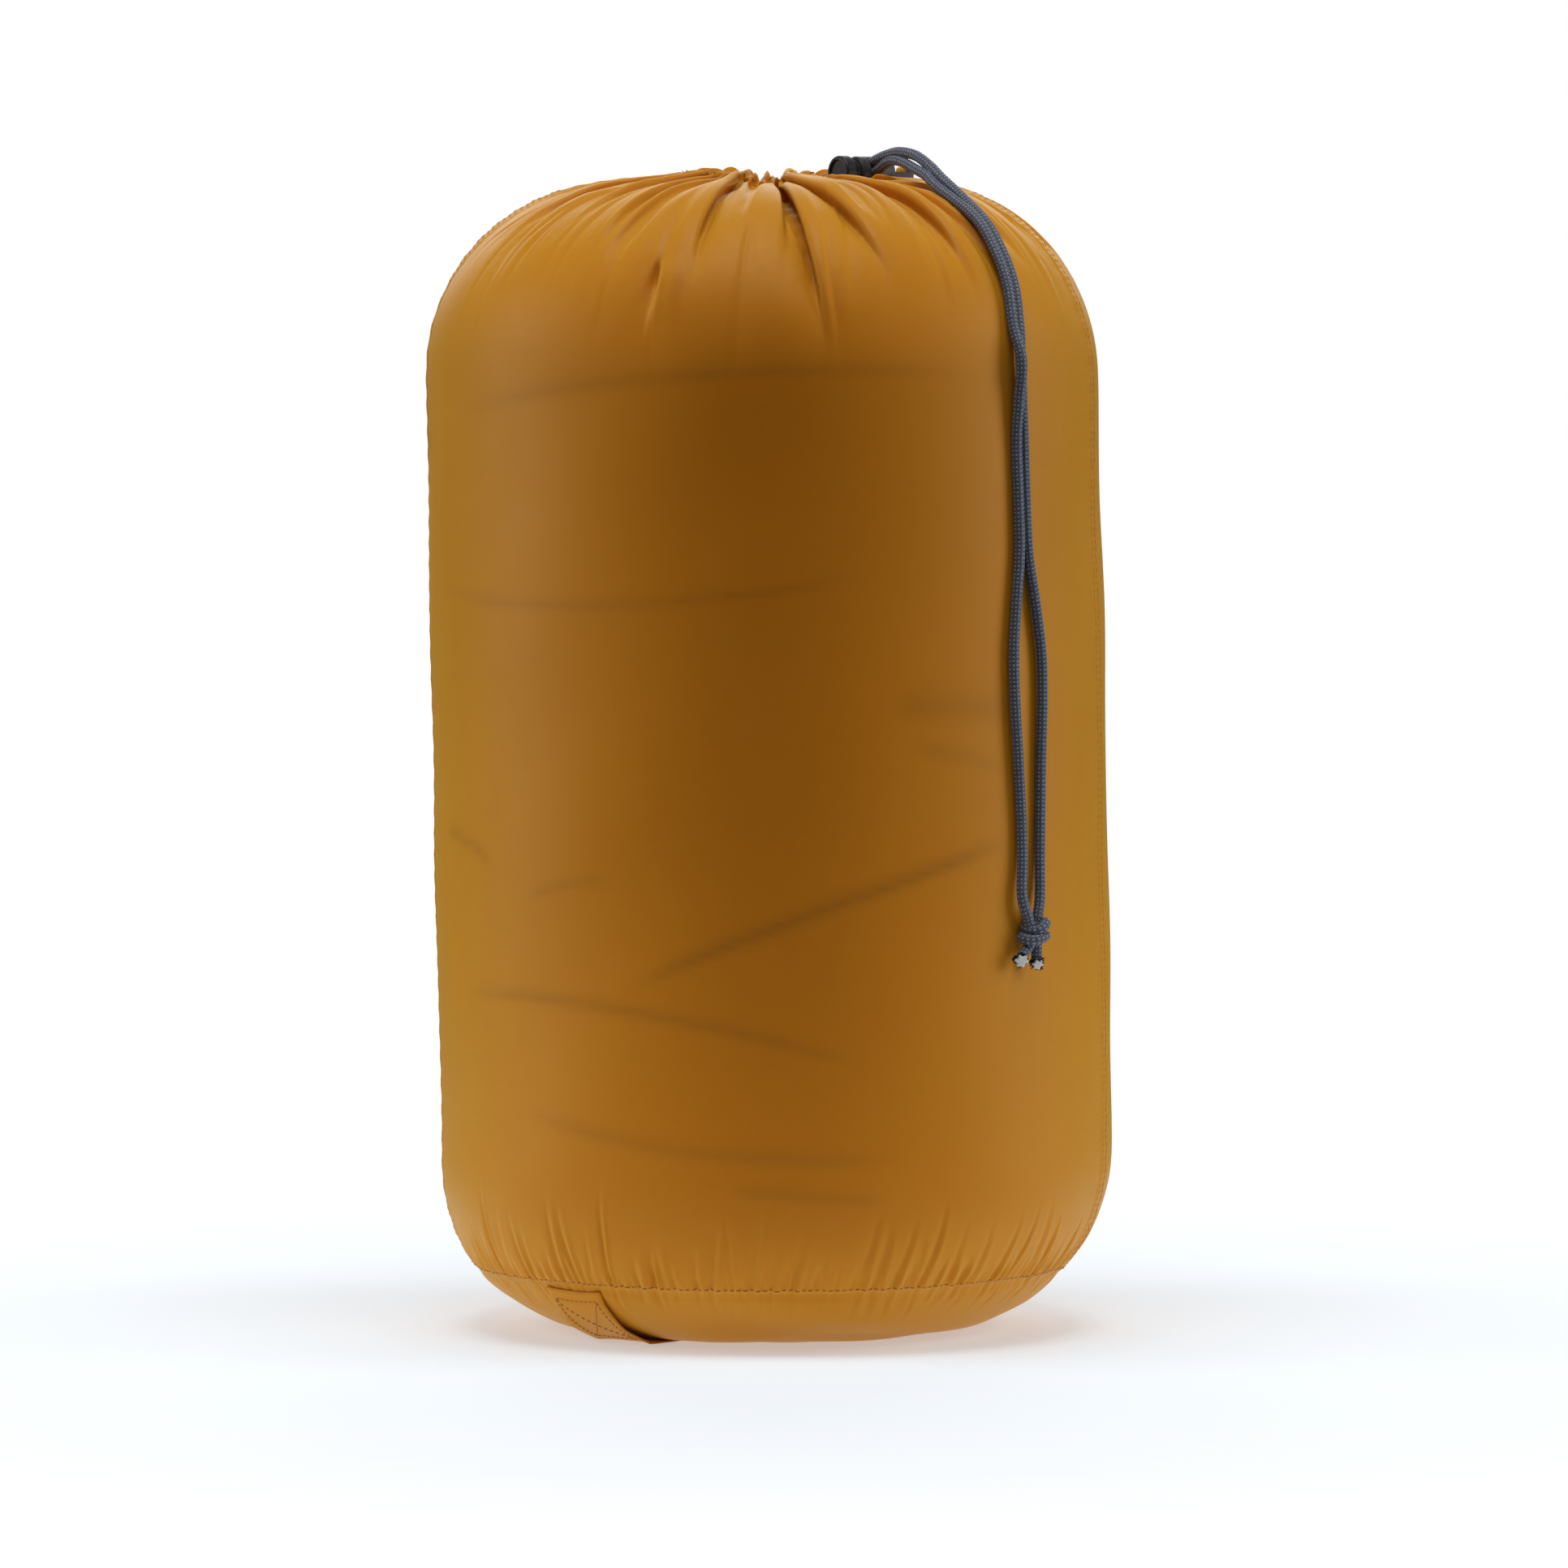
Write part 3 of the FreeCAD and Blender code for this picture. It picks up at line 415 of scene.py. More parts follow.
def braided_cord():
    """Slate cord with painted shade: darker on the carriers that lie under, and near black in the gaps
    between.
    """
    material, node, into, relief = new_material(
        "braided_cord", (0.085, 0.10, 0.15), 0.6, Sheen_Weight=0.12, Sheen_Roughness=0.5)
    shade = node("ShaderNodeAttribute", attribute_name="braid").outputs["Fac"]
    yarn = mixed(node, noise(node, 900, 3), (0.125, 0.15, 0.215), (0.34, 0.39, 0.51))
    # Painted shade: near black in the gaps between the carriers, up to the yarn's colour on the carriers
    # lying on top.
    into("Base Color", mixed(node, stretched(node, shade, GAP_SHADE, 0.85), (0.012, 0.016, 0.026), yarn))
    relief(noise(node, 3000, 2), 0.35, 0.05 * MM)
    return material


def melted_core():
    """The cord's white core, stained where it was melted."""
    material, node, into, relief = new_material(
        "melted_core", (0.80, 0.78, 0.73), 0.42, Subsurface_Weight=0.2)
    stain = noise(node, 700, 3)
    into("Base Color", mixed(node, stain, (0.88, 0.86, 0.82), (0.62, 0.58, 0.52)))
    relief(stain, 0.6, 0.2 * MM)
    return material


def moulded_plastic():
    """Black acetal with a fine moulded grain and paler sharp edges."""
    material, node, into, relief = new_material(
        "moulded_plastic", (0.018, 0.018, 0.02), 0.44, Specular_IOR_Level=0.32)
    grain = noise(node, 2200, 4)
    paler_edges = stretched(node, node("ShaderNodeNewGeometry").outputs["Pointiness"], 0.52, 0.62)
    into("Base Color", mixed(node, paler_edges, (0.016, 0.016, 0.018), (0.06, 0.06, 0.065)))
    into("Roughness", between(node, grain, 0.36, 0.52))
    relief(grain, 0.25, 0.04 * MM)
    return material


def spring_wire():
    """Bright steel, unevenly polished."""
    material, node, into, _ = new_material("spring_wire", (0.62, 0.62, 0.64), 0.28, Metallic=1.0)
    into("Roughness", between(node, noise(node, 1500, 2), 0.2, 0.38))
    return material


def packed_fill():
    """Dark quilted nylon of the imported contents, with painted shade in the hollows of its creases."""
    material, node, into, relief = new_material("packed_fill", (0.05, 0.055, 0.06), 0.6, Sheen_Weight=0.2)
    creases = noise(node, 70, 6, 0.6)
    # Painted shade: the colour is darker where the relief of the creases is low.
    into("Base Color", mixed(node, creases, (0.03, 0.033, 0.038), (0.10, 0.10, 0.11)))
    relief(creases, 0.7, 2 * MM)
    return material


SHELL = taffeta()
THREAD = sewing_thread()
CORD = braided_cord()
CORE = melted_core()
PLASTIC = moulded_plastic()
WIRE = spring_wire()
FILL = packed_fill()

# -------------------------------------------------------------------- the lean

# The filled sack stands a little crooked: height, and how far the body is shifted to the right.
LEAN = np.array([(-0.01, 0), (0.0, 0), (0.0215, 0), (0.045, 1.5), (0.075, 2.3), (0.14, 1.1), (0.25, -1.0),
                 (0.354, -2.9), (0.385, -2.3), (0.4, -1.1), (0.4133, 0), (0.43, 0)])
LEAN_CURVE = refined(LEAN, 6)


def leaning(points):
    """Points shifted sideways with the body's lean."""
    shift = np.interp(points[..., 2], LEAN_CURVE[:, 0], LEAN_CURVE[:, 1]) * MM
    return points + shift[..., None] * np.array([1.0, 0.0, 0.0])


# ------------------------------------------------------- the cord's centre lines

# Directions at the hanging cord.
UPWARDS = np.array([0.0, 0.0, 1.0])
OUTWARDS = around(TAIL_AZIMUTH, 1, 0)
SIDEWAYS = around(TAIL_AZIMUTH + 90, 1, 0)
STRANDS_APART = np.cross(CORD_RUN, LOCK_AXIS)
STRANDS_APART *= math.copysign(1, STRANDS_APART[2])

# Height, half the distance between the strands, how far each one stands off the side, and how
# far both lie to the left.
HANGING = [
    (0.348, 1.1, 0.0, 2.4, 1.9),
    (0.334, 1.5, 0.0, 1.2, 1.9),
    (0.320, 1.9, 0.0, 0.0, 1.8),
    (0.300, 1.9, 0.0, 0.0, 1.4),
    (0.281, 2.3, 0.0, 0.0, 0.9),
    (0.263, 5.0, 0.2, 0.0, 0.4),
    (0.245, 7.3, 0.3, 0.2, 0.1),
    (0.228, 7.3, 0.3, 0.3, 0.0),
    (0.208, 6.1, 0.2, 0.3, 0.0),
    (0.188, 5.1, 0.5, 0.5, 0.3),
    (0.173, 4.7, 1.0, 1.0, 1.1),
    (0.1625, 4.9, 1.5, 1.5, 2.1),
    (0.157, 4.1, 2.0, 2.0, 2.4),
    (0.1525, 2.5, 2.4, 2.4, 2.4),
    (0.1475, 1.6, 2.55, 2.55, 2.3),
]
# Angle on the rounded shoulder, azimuth beyond the hanging ends, and half the distance apart.
ON_SHOULDER = [(52, 3.2, 2.1), (40, 2.2, 2.0), (27, 1.3, 1.9), (14, -0.2, 1.6)]
# The bow over the shoulder: share of the way to the landing, and height of each strand.
BOW = [(0.13, 0.4207, 0.4184), (0.27, 0.4216, 0.4184), (0.45, 0.4203, 0.4158), (0.62, 0.4163, 0.4130),
       (0.77, 0.4116, 0.4089)]
# Where the bow lands on the shoulder, in the same form as ON_SHOULDER.
SHOULDER_LANDING = (62, 3.9, 2.1)
OFF_THE_CLOTH = 0.6 * MM
HALF_LOCK_RUN = 7 * MM


def over_shoulder(side, angle, turn, apart):
    """A point of a strand on the shoulder, by angle above the outward direction and azimuth."""
    reach = SHOULDER_RADIUS + CORD_RADIUS + OFF_THE_CLOTH
    radius = BODY_RADIUS - SHOULDER_RADIUS + reach * math.cos(math.radians(angle))
    height = SHOULDER_HEIGHT + reach * math.sin(math.radians(angle))
    azimuth = TAIL_AZIMUTH + turn
    return around(azimuth, radius, height) + around(azimuth + 90, 1, 0) * side * apart * MM


def strand_line(side):
    """One strand from the casing, through the lock, over the shoulder and down to the knot."""
    offset = side * STRAND_OFFSET
    through = np.array(LOCK_HOLE) + STRANDS_APART * offset
    run = np.array(CORD_RUN) * HALF_LOCK_RUN
    start = np.array([LOOP_RADIUS, offset, LOOP_HEIGHT])
    leaving = through + run
    points = [start, start + np.array([1.2, 0, 3]) * MM, through - run, through, leaving]
    landing = over_shoulder(side, *SHOULDER_LANDING)
    for share, upper, lower in BOW:
        point = leaving + (landing - leaving) * share
        point[2] = upper if side > 0 else lower
        points.append(point)
    points += [over_shoulder(side, *place) for place in ON_SHOULDER]
    for height, apart, far, near, left in HANGING:
        out = TAIL_RADIUS + (far if side > 0 else near) * MM
        points.append(OUTWARDS * out + SIDEWAYS * (side * apart - left) * MM + UPWARDS * height)
    return leaning(refined(points, 12))


STRANDS = {side: strand_line(side) for side in (1, -1)}

# --------------------------------------------------------- creases and puckers

# Deep creases of the gathered top: azimuth at the mouth and at the far end, where each starts and
# ends along the cloth from the mouth (mm), its depth (mm), and its steep side.
FRONT_CREASES = [
    (-78, -76, 26, 74, 1.6, 1), (-62, -61, 30, 88, 2.6, 1), (-50, -49, -30, 60, 2.6, 1),
    (-20.5, -29.5, -30, 84, 3.4, 1), (-14.5, -12.5, -30, 94, 3.0, -1), (-18.2, -20.6, 78, 116, 4.6, 1),
    (1.5, 11, -30, 118, 4.8, 1), (6.5, 24, -30, 92, 3.6, 1), (37, 41, -30, 94, 3.4, 1),
    (57, 59, -30, 88, 2.8, 1), (69, 70, 10, 78, 1.8, -1),
]
# A crease's width at the mouth and this far from it (mm), times a share for each of its sides.
WIDTH_AT_MOUTH = 1.0 * MM
WIDTH_FAR = 2.2 * MM
LENGTH_TO_FAR = 110
STEEP_WIDTH = 0.55
SHALLOW_WIDTH = 1.7
# The start of a crease that goes on into the mouth.
BEFORE_MOUTH = -30


def either_side(share):
    """1, with this chance, or else -1."""
    return 1 if random.random() < share else -1


def back_creases():
    """Creases of the same kind, spread unevenly over the side that faces away."""
    found = []
    azimuth = 88.0
    while azimuth < 360 - 84:
        drift = random.uniform(-5, 8)
        start = BEFORE_MOUTH if random.random() < 0.75 else random.uniform(10, 40)
        depth = random.uniform(2.0, 4.6)
        found.append((azimuth, azimuth + drift, start, random.uniform(62, 116), depth, either_side(0.6)))
        azimuth += random.uniform(9, 17)
    return found


def mouth_pleats():
    """Short pleats between the creases, close together at the mouth."""
    found = []
    azimuth = -180.0
    while azimuth < 178:
        reach = random.uniform(18, 55) if random.random() < 0.65 else random.uniform(60, 100)
        found.append((azimuth, azimuth + random.uniform(-3, 5), BEFORE_MOUTH, reach,
                      random.uniform(1.6, 3.2), either_side(0.6)))
        azimuth += random.uniform(5.0, 9.5)
    return found


def soft_ripples():
    """Faint creases on the shoulder, where the gathers run out."""
    found = []
    for azimuth in range(-180, 180, 4):
        middle = azimuth + random.uniform(-2.5, 2.5)
        start = random.uniform(5, 60)
        found.append((middle, middle + random.uniform(-3, 4), start, start + random.uniform(50, 80),
                      random.uniform(0.2, 0.9), either_side(0.5)))
    return found


CREASES = FRONT_CREASES + back_creases()
PLEATS = mouth_pleats() + soft_ripples()


def crease_shape(azimuth, radius, from_mouth, creases, least_angle=0.0):
    """How deep the creases are, and how far the cloth beside them is pulled over them.

    The grid has a column at each azimuth and a row at each radius and distance from the mouth.
    No crease is narrower than the least angle (radians).
    """
    depth = np.zeros((len(radius), len(azimuth)))
    pull = np.zeros_like(depth)
    place = from_mouth[:, None] / MM
    for at_mouth, at_end, start, end, deep, steep in creases:
        centre = at_mouth + (at_end - at_mouth) * np.clip(place / end, 0, 1) ** 0.8
        gap = np.radians(wrapped(azimuth[None] - centre)) * radius[:, None] * steep
        share = np.clip(place / LENGTH_TO_FAR, 0, 1)
        width = WIDTH_AT_MOUTH + (WIDTH_FAR - WIDTH_AT_MOUTH) * share
        width = np.maximum(width, least_angle * radius[:, None])
        width = width * np.where(gap > 0, STEEP_WIDTH, SHALLOW_WIDTH)
        valley = np.exp(-(np.abs(gap / width) ** 1.15))
        ridge = 0.32 * hump(gap, 2.6 * width, 1.6 * width) * (gap > 0)
        strength = smooth_step(place, start - 0.01, start + 14) * (1 - smooth_step(place, end - 42, end))
        depth += deep * MM * strength * (valley - ridge)
        pull += steep * deep * MM * strength * hump(gap, -1.1 * width, 1.5 * width)
    return depth, pull


def crease_depth(azimuth, radius, from_mouth, creases, least_angle=0.0):
    """How deep the creases are on the same kind of grid."""
    return crease_shape(azimuth, radius, from_mouth, creases, least_angle)[0]


def heel_puckers():
    """Puckers above the base seam: azimuth, reach, depth and width (mm), and lean (degrees)."""
    found = []
    for count, reach, depth, width in ((170, (6, 18), (0.3, 0.7), (0.6, 1.0)),
                                       (96, (14, 46), (0.25, 0.8), (0.7, 1.3))):
        for place in range(count):
            azimuth = (place + random.uniform(-0.42, 0.42)) * 360 / count
            found.append((azimuth, random.uniform(*reach), random.uniform(*depth),
                          random.uniform(*width), random.uniform(-2.2, 2.2)))
    return found


PUCKERS = heel_puckers()


def pucker_depth(azimuth, radius, from_seam, shorten=1.0, weaken=1.0):
    """How deep the puckers are, on columns (azimuth) and rows (radius, distance from the seam)."""
    depth = np.zeros((len(radius), len(azimuth)))
    place = from_seam[:, None] / MM
    for centre, reach, deep, wide, lean in PUCKERS:
        reach = reach * shorten
        middle = centre + lean * place / 40
        gap = np.radians(wrapped(azimuth[None] - middle)) * radius[:, None] / (wide * MM)
        wave = np.exp(-np.abs(gap) ** 1.3) - 0.5 * hump(gap, 2.0, 1.0)
        strength = (0.35 + 0.65 * smooth_step(place, 0, 5)) * (1 - smooth_step(place, 0.35 * reach, reach))
        depth += weaken * deep * MM * strength * wave
    return depth


def lumps(azimuth, height, size, longest, shortest):
    """Soft unevenness of the fill under the skin, from waves of random direction."""
    total = np.zeros((len(height), len(azimuth)))
    for _ in range(16):
        turns = random.integers(1, 9)
        rise = 2 * math.pi / random.uniform(shortest, longest) * random.choice([-1, 1])
        phase = random.uniform(0, 2 * math.pi)
        total += np.cos(turns * np.radians(azimuth)[None] + rise * height[:, None] + phase)
    return size * total / 4


# Folds of the imported fill that press against the skin, shown as painted shade on the cloth and a slight
# rise: first and last azimuth, height at each, how far the middle rises over a straight line (m), half
# width (m) and strength.
FRONT_FOLDS = [
    (-62, 38, 0.330, 0.344, 0.007, 0.0030, 0.42),
    (-73, 19, 0.267, 0.275, -0.007, 0.0022, 0.42),
    (20, 46, 0.229, 0.227, 0.0, 0.0050, 0.40),
    (24, 44, 0.214, 0.205, 0.001, 0.0030, 0.30),
    (-27, 46, 0.128, 0.181, 0.004, 0.0026, 0.80),
    (-66, 17, 0.124, 0.101, 0.009, 0.0024, 0.55),
    (-50, 24, 0.086, 0.071, -0.006, 0.0028, 0.42),
    (-10, 20, 0.060, 0.055, 0.0, 0.0026, 0.40),
    (-74, -54, 0.180, 0.170, 0.003, 0.0022, 0.45),
    (-46, -28, 0.160, 0.168, 0.001, 0.0022, 0.35),
]


def fill_folds(azimuth, height):
    """How strongly the painted shade of the fill's folds shows on the cloth, from 0 to 1."""
    folds = list(FRONT_FOLDS)
    for _ in range(11):
        first = random.uniform(85, 225)
        low = random.uniform(0.055, 0.335)
        folds.append((first, first + random.uniform(25, 80), low, low + random.uniform(-0.03, 0.03),
                      random.uniform(-0.008, 0.008), random.uniform(0.002, 0.004),
                      random.uniform(0.3, 0.65)))
    shade = np.zeros((len(height), len(azimuth)))
    for first, last, low, high, rise, half, strength in folds:
        share = wrapped(azimuth - (first + last) / 2) / (last - first) + 0.5
        line = low + (high - low) * share + 4 * rise * share * (1 - share)
        fade = smooth_step(share, -0.02, 0.22) * (1 - smooth_step(share, 0.78, 1.02))
        gap = (height[:, None] - line[None]) / half
        shade += strength * fade[None] * np.exp(-np.abs(gap) ** np.where(gap > 0, 1.3, 2.2))
    return np.clip(shade, 0, 1) * 0.75


def side_seams(azimuth, radius, from_seam):
    """The felled side seams: a raised band on one side of the join, rippled by its stitching."""
    height = np.zeros((len(radius), len(azimuth)))
    for seam, side in ((RIGHT_SEAM, -1), (LEFT_SEAM, 1)):
        gap = np.radians(wrapped(azimuth - seam))[None] * radius[:, None] * side / MM
        band = smooth_step(gap, -0.9, 0.3) * (1 - smooth_step(gap, 6.2, 8.0))
        along = from_seam[:, None] / MM
        ripple = np.cos(2 * math.pi * along / 8.5 + 2 * np.sin(along / 21))
        height += 0.45 * band + 0.35 * hump(gap, 0.6, 0.8) + 0.14 * ripple * hump(gap, 3, 6.5)
    return height * MM


# -------------------------------------------------------------- the cloth skin


def skin_outline():
    """Radius and height of the skin from the base seam to the mouth."""
    tilt = math.degrees(math.asin((HEEL_RADIUS - SEAM_HEIGHT) / HEEL_RADIUS))
    heel = arc(BODY_RADIUS - HEEL_RADIUS, HEEL_RADIUS, HEEL_RADIUS, -tilt, 0, 40)
    shoulder = arc(BODY_RADIUS - SHOULDER_RADIUS, SHOULDER_HEIGHT, SHOULDER_RADIUS, 0, SHOULDER_TURN, 80)
    slope = 1 / math.tan(math.radians(SHOULDER_TURN))
    rise = (shoulder[-1, 0] - MOUTH_RADIUS) * slope
    rim = [[MOUTH_RADIUS, shoulder[-1, 1] + rise]]
    return np.concatenate([heel, shoulder, rim])


def spaced_rows(length):
    """Distances of the rows from the base seam, closer together at the heel and the shoulder."""
    places = [0.0]
    while places[-1] < length:
        here = places[-1]
        coarse = np.clip(min((here - 0.055) / 0.04, (0.28 - here) / 0.04), 0, 1)
        places.append(here + (2.15 + 2.9 * coarse) * MM)
    places = np.array(places)
    return places * length / places[-1]


def blow_up(start, rest):
    """The cloth after the fill has pushed it out: start and rest are grids of the same points."""
    rows, columns = start.shape[:2]
    mesh = bpy.data.meshes.new("skin_cloth")
    flat = (rest.reshape(-1, 3) * CLOTH_SCALE).tolist()
    mesh.from_pydata(flat, [], quads(rows, columns, True).tolist())
    cloth = bpy.data.objects.new("skin_cloth", mesh)
    bpy.context.scene.collection.objects.link(cloth)
    cloth.shape_key_add(name="rest")
    begin = cloth.shape_key_add(name="start")
    begin.data.foreach_set("co", (start * CLOTH_SCALE).ravel())
    begin.value = 1.0
    index = np.arange(rows * columns).reshape(rows, columns)
    held = cloth.vertex_groups.new(name="held")
    held.add(np.concatenate([index[0], index[-1], index[-2]]).tolist(), 1.0, "REPLACE")
    modifier = cloth.modifiers.new("Cloth", "CLOTH")
    settings = modifier.settings
    settings.quality = 6
    settings.mass = 0.15
    settings.air_damping = 6
    for kind, stiffness, damping in (("tension", 30, 12), ("compression", 30, 12), ("shear", 6, 8),
                                     ("bending", 0.08, 1)):
        setattr(settings, f"{kind}_stiffness", stiffness)
        setattr(settings, f"{kind}_damping", damping)
    settings.vertex_group_mass = "held"
    settings.use_pressure = True
    settings.uniform_pressure_force = CLOTH_PRESSURE
    settings.effector_weights.gravity = 0
    settings.rest_shape_key = cloth.data.shape_keys.key_blocks["rest"]
    modifier.collision_settings.use_collision = False
    modifier.collision_settings.use_self_collision = False
    modifier.point_cache.frame_end = CLOTH_FRAMES
    for moment in range(1, CLOTH_FRAMES + 1):
        bpy.context.scene.frame_set(moment)
    shape = cloth.evaluated_get(bpy.context.evaluated_depsgraph_get()).data
    points = np.empty(rows * columns * 3)
    shape.vertices.foreach_get("co", points)
    bpy.data.objects.remove(cloth)
    bpy.data.meshes.remove(mesh)
    bpy.context.scene.frame_set(1)
    return points.reshape(rows, columns, 3) / CLOTH_SCALE


def simulated_skin(azimuth, places, outline):
    """The blown-up tube of cloth, before its fine detail."""
    line = at_lengths(outline, places)
    radius, height = line[:, 0], line[:, 1]
    slope = unit(np.gradient(line, axis=0))
    from_mouth = places[-1] - places
    least = COLUMNS_IN_CREASE * 2 * math.pi / COLUMNS
    inward = crease_depth(azimuth, radius, from_mouth, CREASES, least)
    inward += 0.4 * crease_depth(azimuth, radius, from_mouth, PLEATS, least)
    inward += 0.3 * pucker_depth(azimuth, radius, places) * (places[:, None] > 0)
    start = around(
        azimuth[None], radius[:, None] - inward * slope[:, 1:], height[:, None] + inward * slope[:, :1])
    flat_radius = np.minimum(CLOTH_TUBE, CLOTH_GATHER * radius)
    step = np.diff(places)
    rise = np.sqrt(np.maximum(step**2 - np.diff(flat_radius) ** 2, (0.05 * step) ** 2))
    flat_height = np.concatenate([[0], np.cumsum(rise)])
    rest = around(azimuth[None], flat_radius[:, None], flat_height[:, None])
    return blow_up(start, rest)


def calmed(grid):
    """The cloth without the solver's ripple from point to point, mostly on the plain side."""
    height = grid[:, :1, 2:]
    heel = 0.55 + 0.45 * smooth_step(height, 0.06, 0.09)
    crown = 1 - 0.85 * smooth_step(height, 0.35, 0.385)
    share = np.minimum(heel, crown)
    for _ in range(4):
        smooth = (np.roll(grid, 1, 1) + 2 * grid + np.roll(grid, -1, 1)) / 4
        smooth[1:-1] = (smooth[:-2] + 2 * smooth[1:-1] + smooth[2:]) / 4
        grid = grid + (smooth - grid) * share
    return grid


def press_under(points, first, last, half_width, ceiling, slope):
    """Points pushed down where something lies on them, from first to last in plan."""
    a, b = np.array(first[:2]), np.array(last[:2])
    share = np.clip(((points[..., :2] - a) @ (b - a)) / ((b - a) @ (b - a)), 0, 1)
    gap = np.linalg.norm(points[..., :2] - (a + share[..., None] * (b - a)), axis=-1)
    limit = ceiling + np.maximum(gap - half_width, 0) * slope
    over = points[..., 2] - limit
    points[..., 2] = np.where(over > 0, limit + 0.02 * over, points[..., 2])
    return points


def press_under_lock(points):
    """The gathers, flattened under the barrel, the button's head and the tail plate."""
    head, end, tail = [LOCK_HOLE + LOCK_AXIS * reach * MM for reach in (13.5, -9.5, -19)]
    points = press_under(points, end, head, 4.5 * MM, LOCK_HOLE.z - 6.6 * MM, 1.1)
    return press_under(points, tail, end, 6.5 * MM, LOCK_HOLE.z - 2.4 * MM, 0.6)


def press_under_cord(points, normals):
    """The skin, dented where the cord lies tight against it."""
    lines = np.concatenate([line[::3] for line in STRANDS.values()])
    bearing = np.degrees(np.arctan2(points[..., 0], -points[..., 1]))
    near = np.abs(wrapped(bearing - TAIL_AZIMUTH - 3)) < 14
    near &= np.hypot(points[..., 0], points[..., 1]) > 0.07
    rows, columns = np.nonzero(near)
    found = points[rows, columns]
    nearest = np.full(len(found), 1.0)
    for line_point in lines:
        nearest = np.minimum(nearest, np.linalg.norm(found - line_point, axis=1))
    push = np.maximum(CORD_RADIUS + 0.35 * MM - nearest, 0)
    points[rows, columns] -= normals[rows, columns] * push[:, None]
    return points


outline = skin_outline()
skin_length = lengths(outline)[-1]
coarse_places = spaced_rows(skin_length)
coarse_azimuth = azimuths(COLUMNS)
skin = calmed(simulated_skin(coarse_azimuth, coarse_places, outline))
skin = refined(refined(skin, FINER_ALONG), FINER_AROUND, axis=1, closed=True)
places = refined(coarse_places, FINER_ALONG)
azimuth = azimuths(COLUMNS * FINER_AROUND)
row_line = at_lengths(outline, places)
row_radius, row_height = row_line[:, 0], row_line[:, 1]
from_mouth = skin_length - places

skin = leaning(skin)
skin_normals = normals_of(skin)
inward, pulled_over = crease_shape(azimuth, row_radius, from_mouth, CREASES)
inward = 0.8 * inward
inward += 0.9 * crease_depth(azimuth, row_radius, from_mouth, PLEATS)
inward += 1.25 * pucker_depth(azimuth, row_radius, places)
inward += lumps(azimuth, row_height, 0.28 * MM, 0.16, 0.06)
# Painted shade of the fill's folds on the cloth; the skin is also raised a little along them.
fold_shade = fill_folds(azimuth, row_height)
inward -= 0.22 * MM * fold_shade
inward -= side_seams(azimuth, row_radius, places)
inward += 0.7 * MM * hump(places, 0, 1.4 * MM)[:, None]
skin = skin - skin_normals * inward[..., None]
skin += 0.5 * pulled_over[..., None] * around(azimuth + 90, 1, 0)
skin = press_under_cord(skin, skin_normals)
skin = press_under_lock(skin)


def column_at(turn):
    """The number of the column nearest to an azimuth, past the last one where the azimuth is."""
    return round((turn + 180) / (360 / len(azimuth)))


def columns_between(first, last):
    """Column numbers from one azimuth to another, both borders included."""
    return np.arange(column_at(first), column_at(last) + 1) % len(azimuth)


def cloth_piece(name, node, grid, closed, row_places, radius, shade=0.0):
    """A sheet of shell cloth, with its weave at a radius and the painted shade of the folds under it."""
    rows, columns = grid.shape[:2]
    piece = make_piece(name, grid, quads(rows, columns, closed), SHELL, "shell_fabric", "sack", [node])
    add_values(piece, "painted_fold_shade", np.broadcast_to(shade, (rows, columns)))
    add_weave_map(piece, columns, row_places, 2 * math.pi * radius / len(azimuth))


def skin_panel(name, node, first, last):
    """One side panel of the skin."""
    columns = columns_between(first, last)
    cloth_piece(name, node, skin[:, columns], False, places, BODY_RADIUS, fold_shade[:, columns])


skin_panel("front_panel_cloth", "front_panel", LEFT_SEAM, RIGHT_SEAM)
skin_panel("back_panel_cloth", "back_panel", RIGHT_SEAM, LEFT_SEAM + 360)

# ------------------------------------------------------------ the gathered hem

# Radius and height of the hem from the skin's end, over the cord and down inside the mouth.
HEM_OUTLINE = [
    (0.0340, 0.4133), (0.0315, 0.4141), (0.0285, 0.4149), (0.0250, 0.4150), (0.0215, 0.4140),
    (0.0185, 0.4118), (0.0162, 0.4082), (0.0148, 0.4036), (0.0140, 0.3990), (0.0128, 0.3950),
]
# Azimuth of the one gap between the gathers, and where the cord in the casing rises.
HEM_GAP = -64
CORD_RISE = HEM_GAP + 180


def gathered_hem():
    """The casing: the same pleats, carried over the cord and down inside the mouth."""
    line = refined(HEM_OUTLINE, 6)
    inwards = lengths(line)
    hem = around(azimuth[None], line[:, :1], line[:, 1:])
    depth = 0.85 * crease_depth(azimuth, line[:, 0], -inwards, CREASES)
    depth += 1.35 * crease_depth(azimuth, line[:, 0], -inwards, PLEATS)
    turn = np.radians(azimuth)[None]
    crest = 0.8 * np.cos(3 * turn + 0.6) + 0.6 * np.cos(7 * turn + 2.1) + 0.5 * np.cos(12 * turn)
    crest = crest * np.sin(np.clip(inwards / 0.02, 0, 1) * math.pi / 2)[:, None]
    gap = hump(wrapped(azimuth - HEM_GAP), 0, 7)[None] * hump(line[:, :1], 0.0235, 0.005)
    hem = hem - normals_of(hem) * (depth - crest * MM + 3.4 * MM * gap)[..., None]
    keep = 1 - smooth_step(inwards, 0, 5 * MM)[:, None, None]
    hem = hem + (skin[-1] - hem[0])[None] * keep
    return press_under_lock(hem), inwards


hem, hem_places = gathered_hem()
cloth_piece("casing_gathers", "drawcord_casing", hem, True, hem_places, BODY_RADIUS)

# -------------------------------------------------------------- the base panel

STRAP_ALONG = around(STRAP_ANGLE + 90, 1, 0)
STRAP_ACROSS = around(STRAP_ANGLE + 180, 1, 0)
STRAP_BED = 1.3 * MM


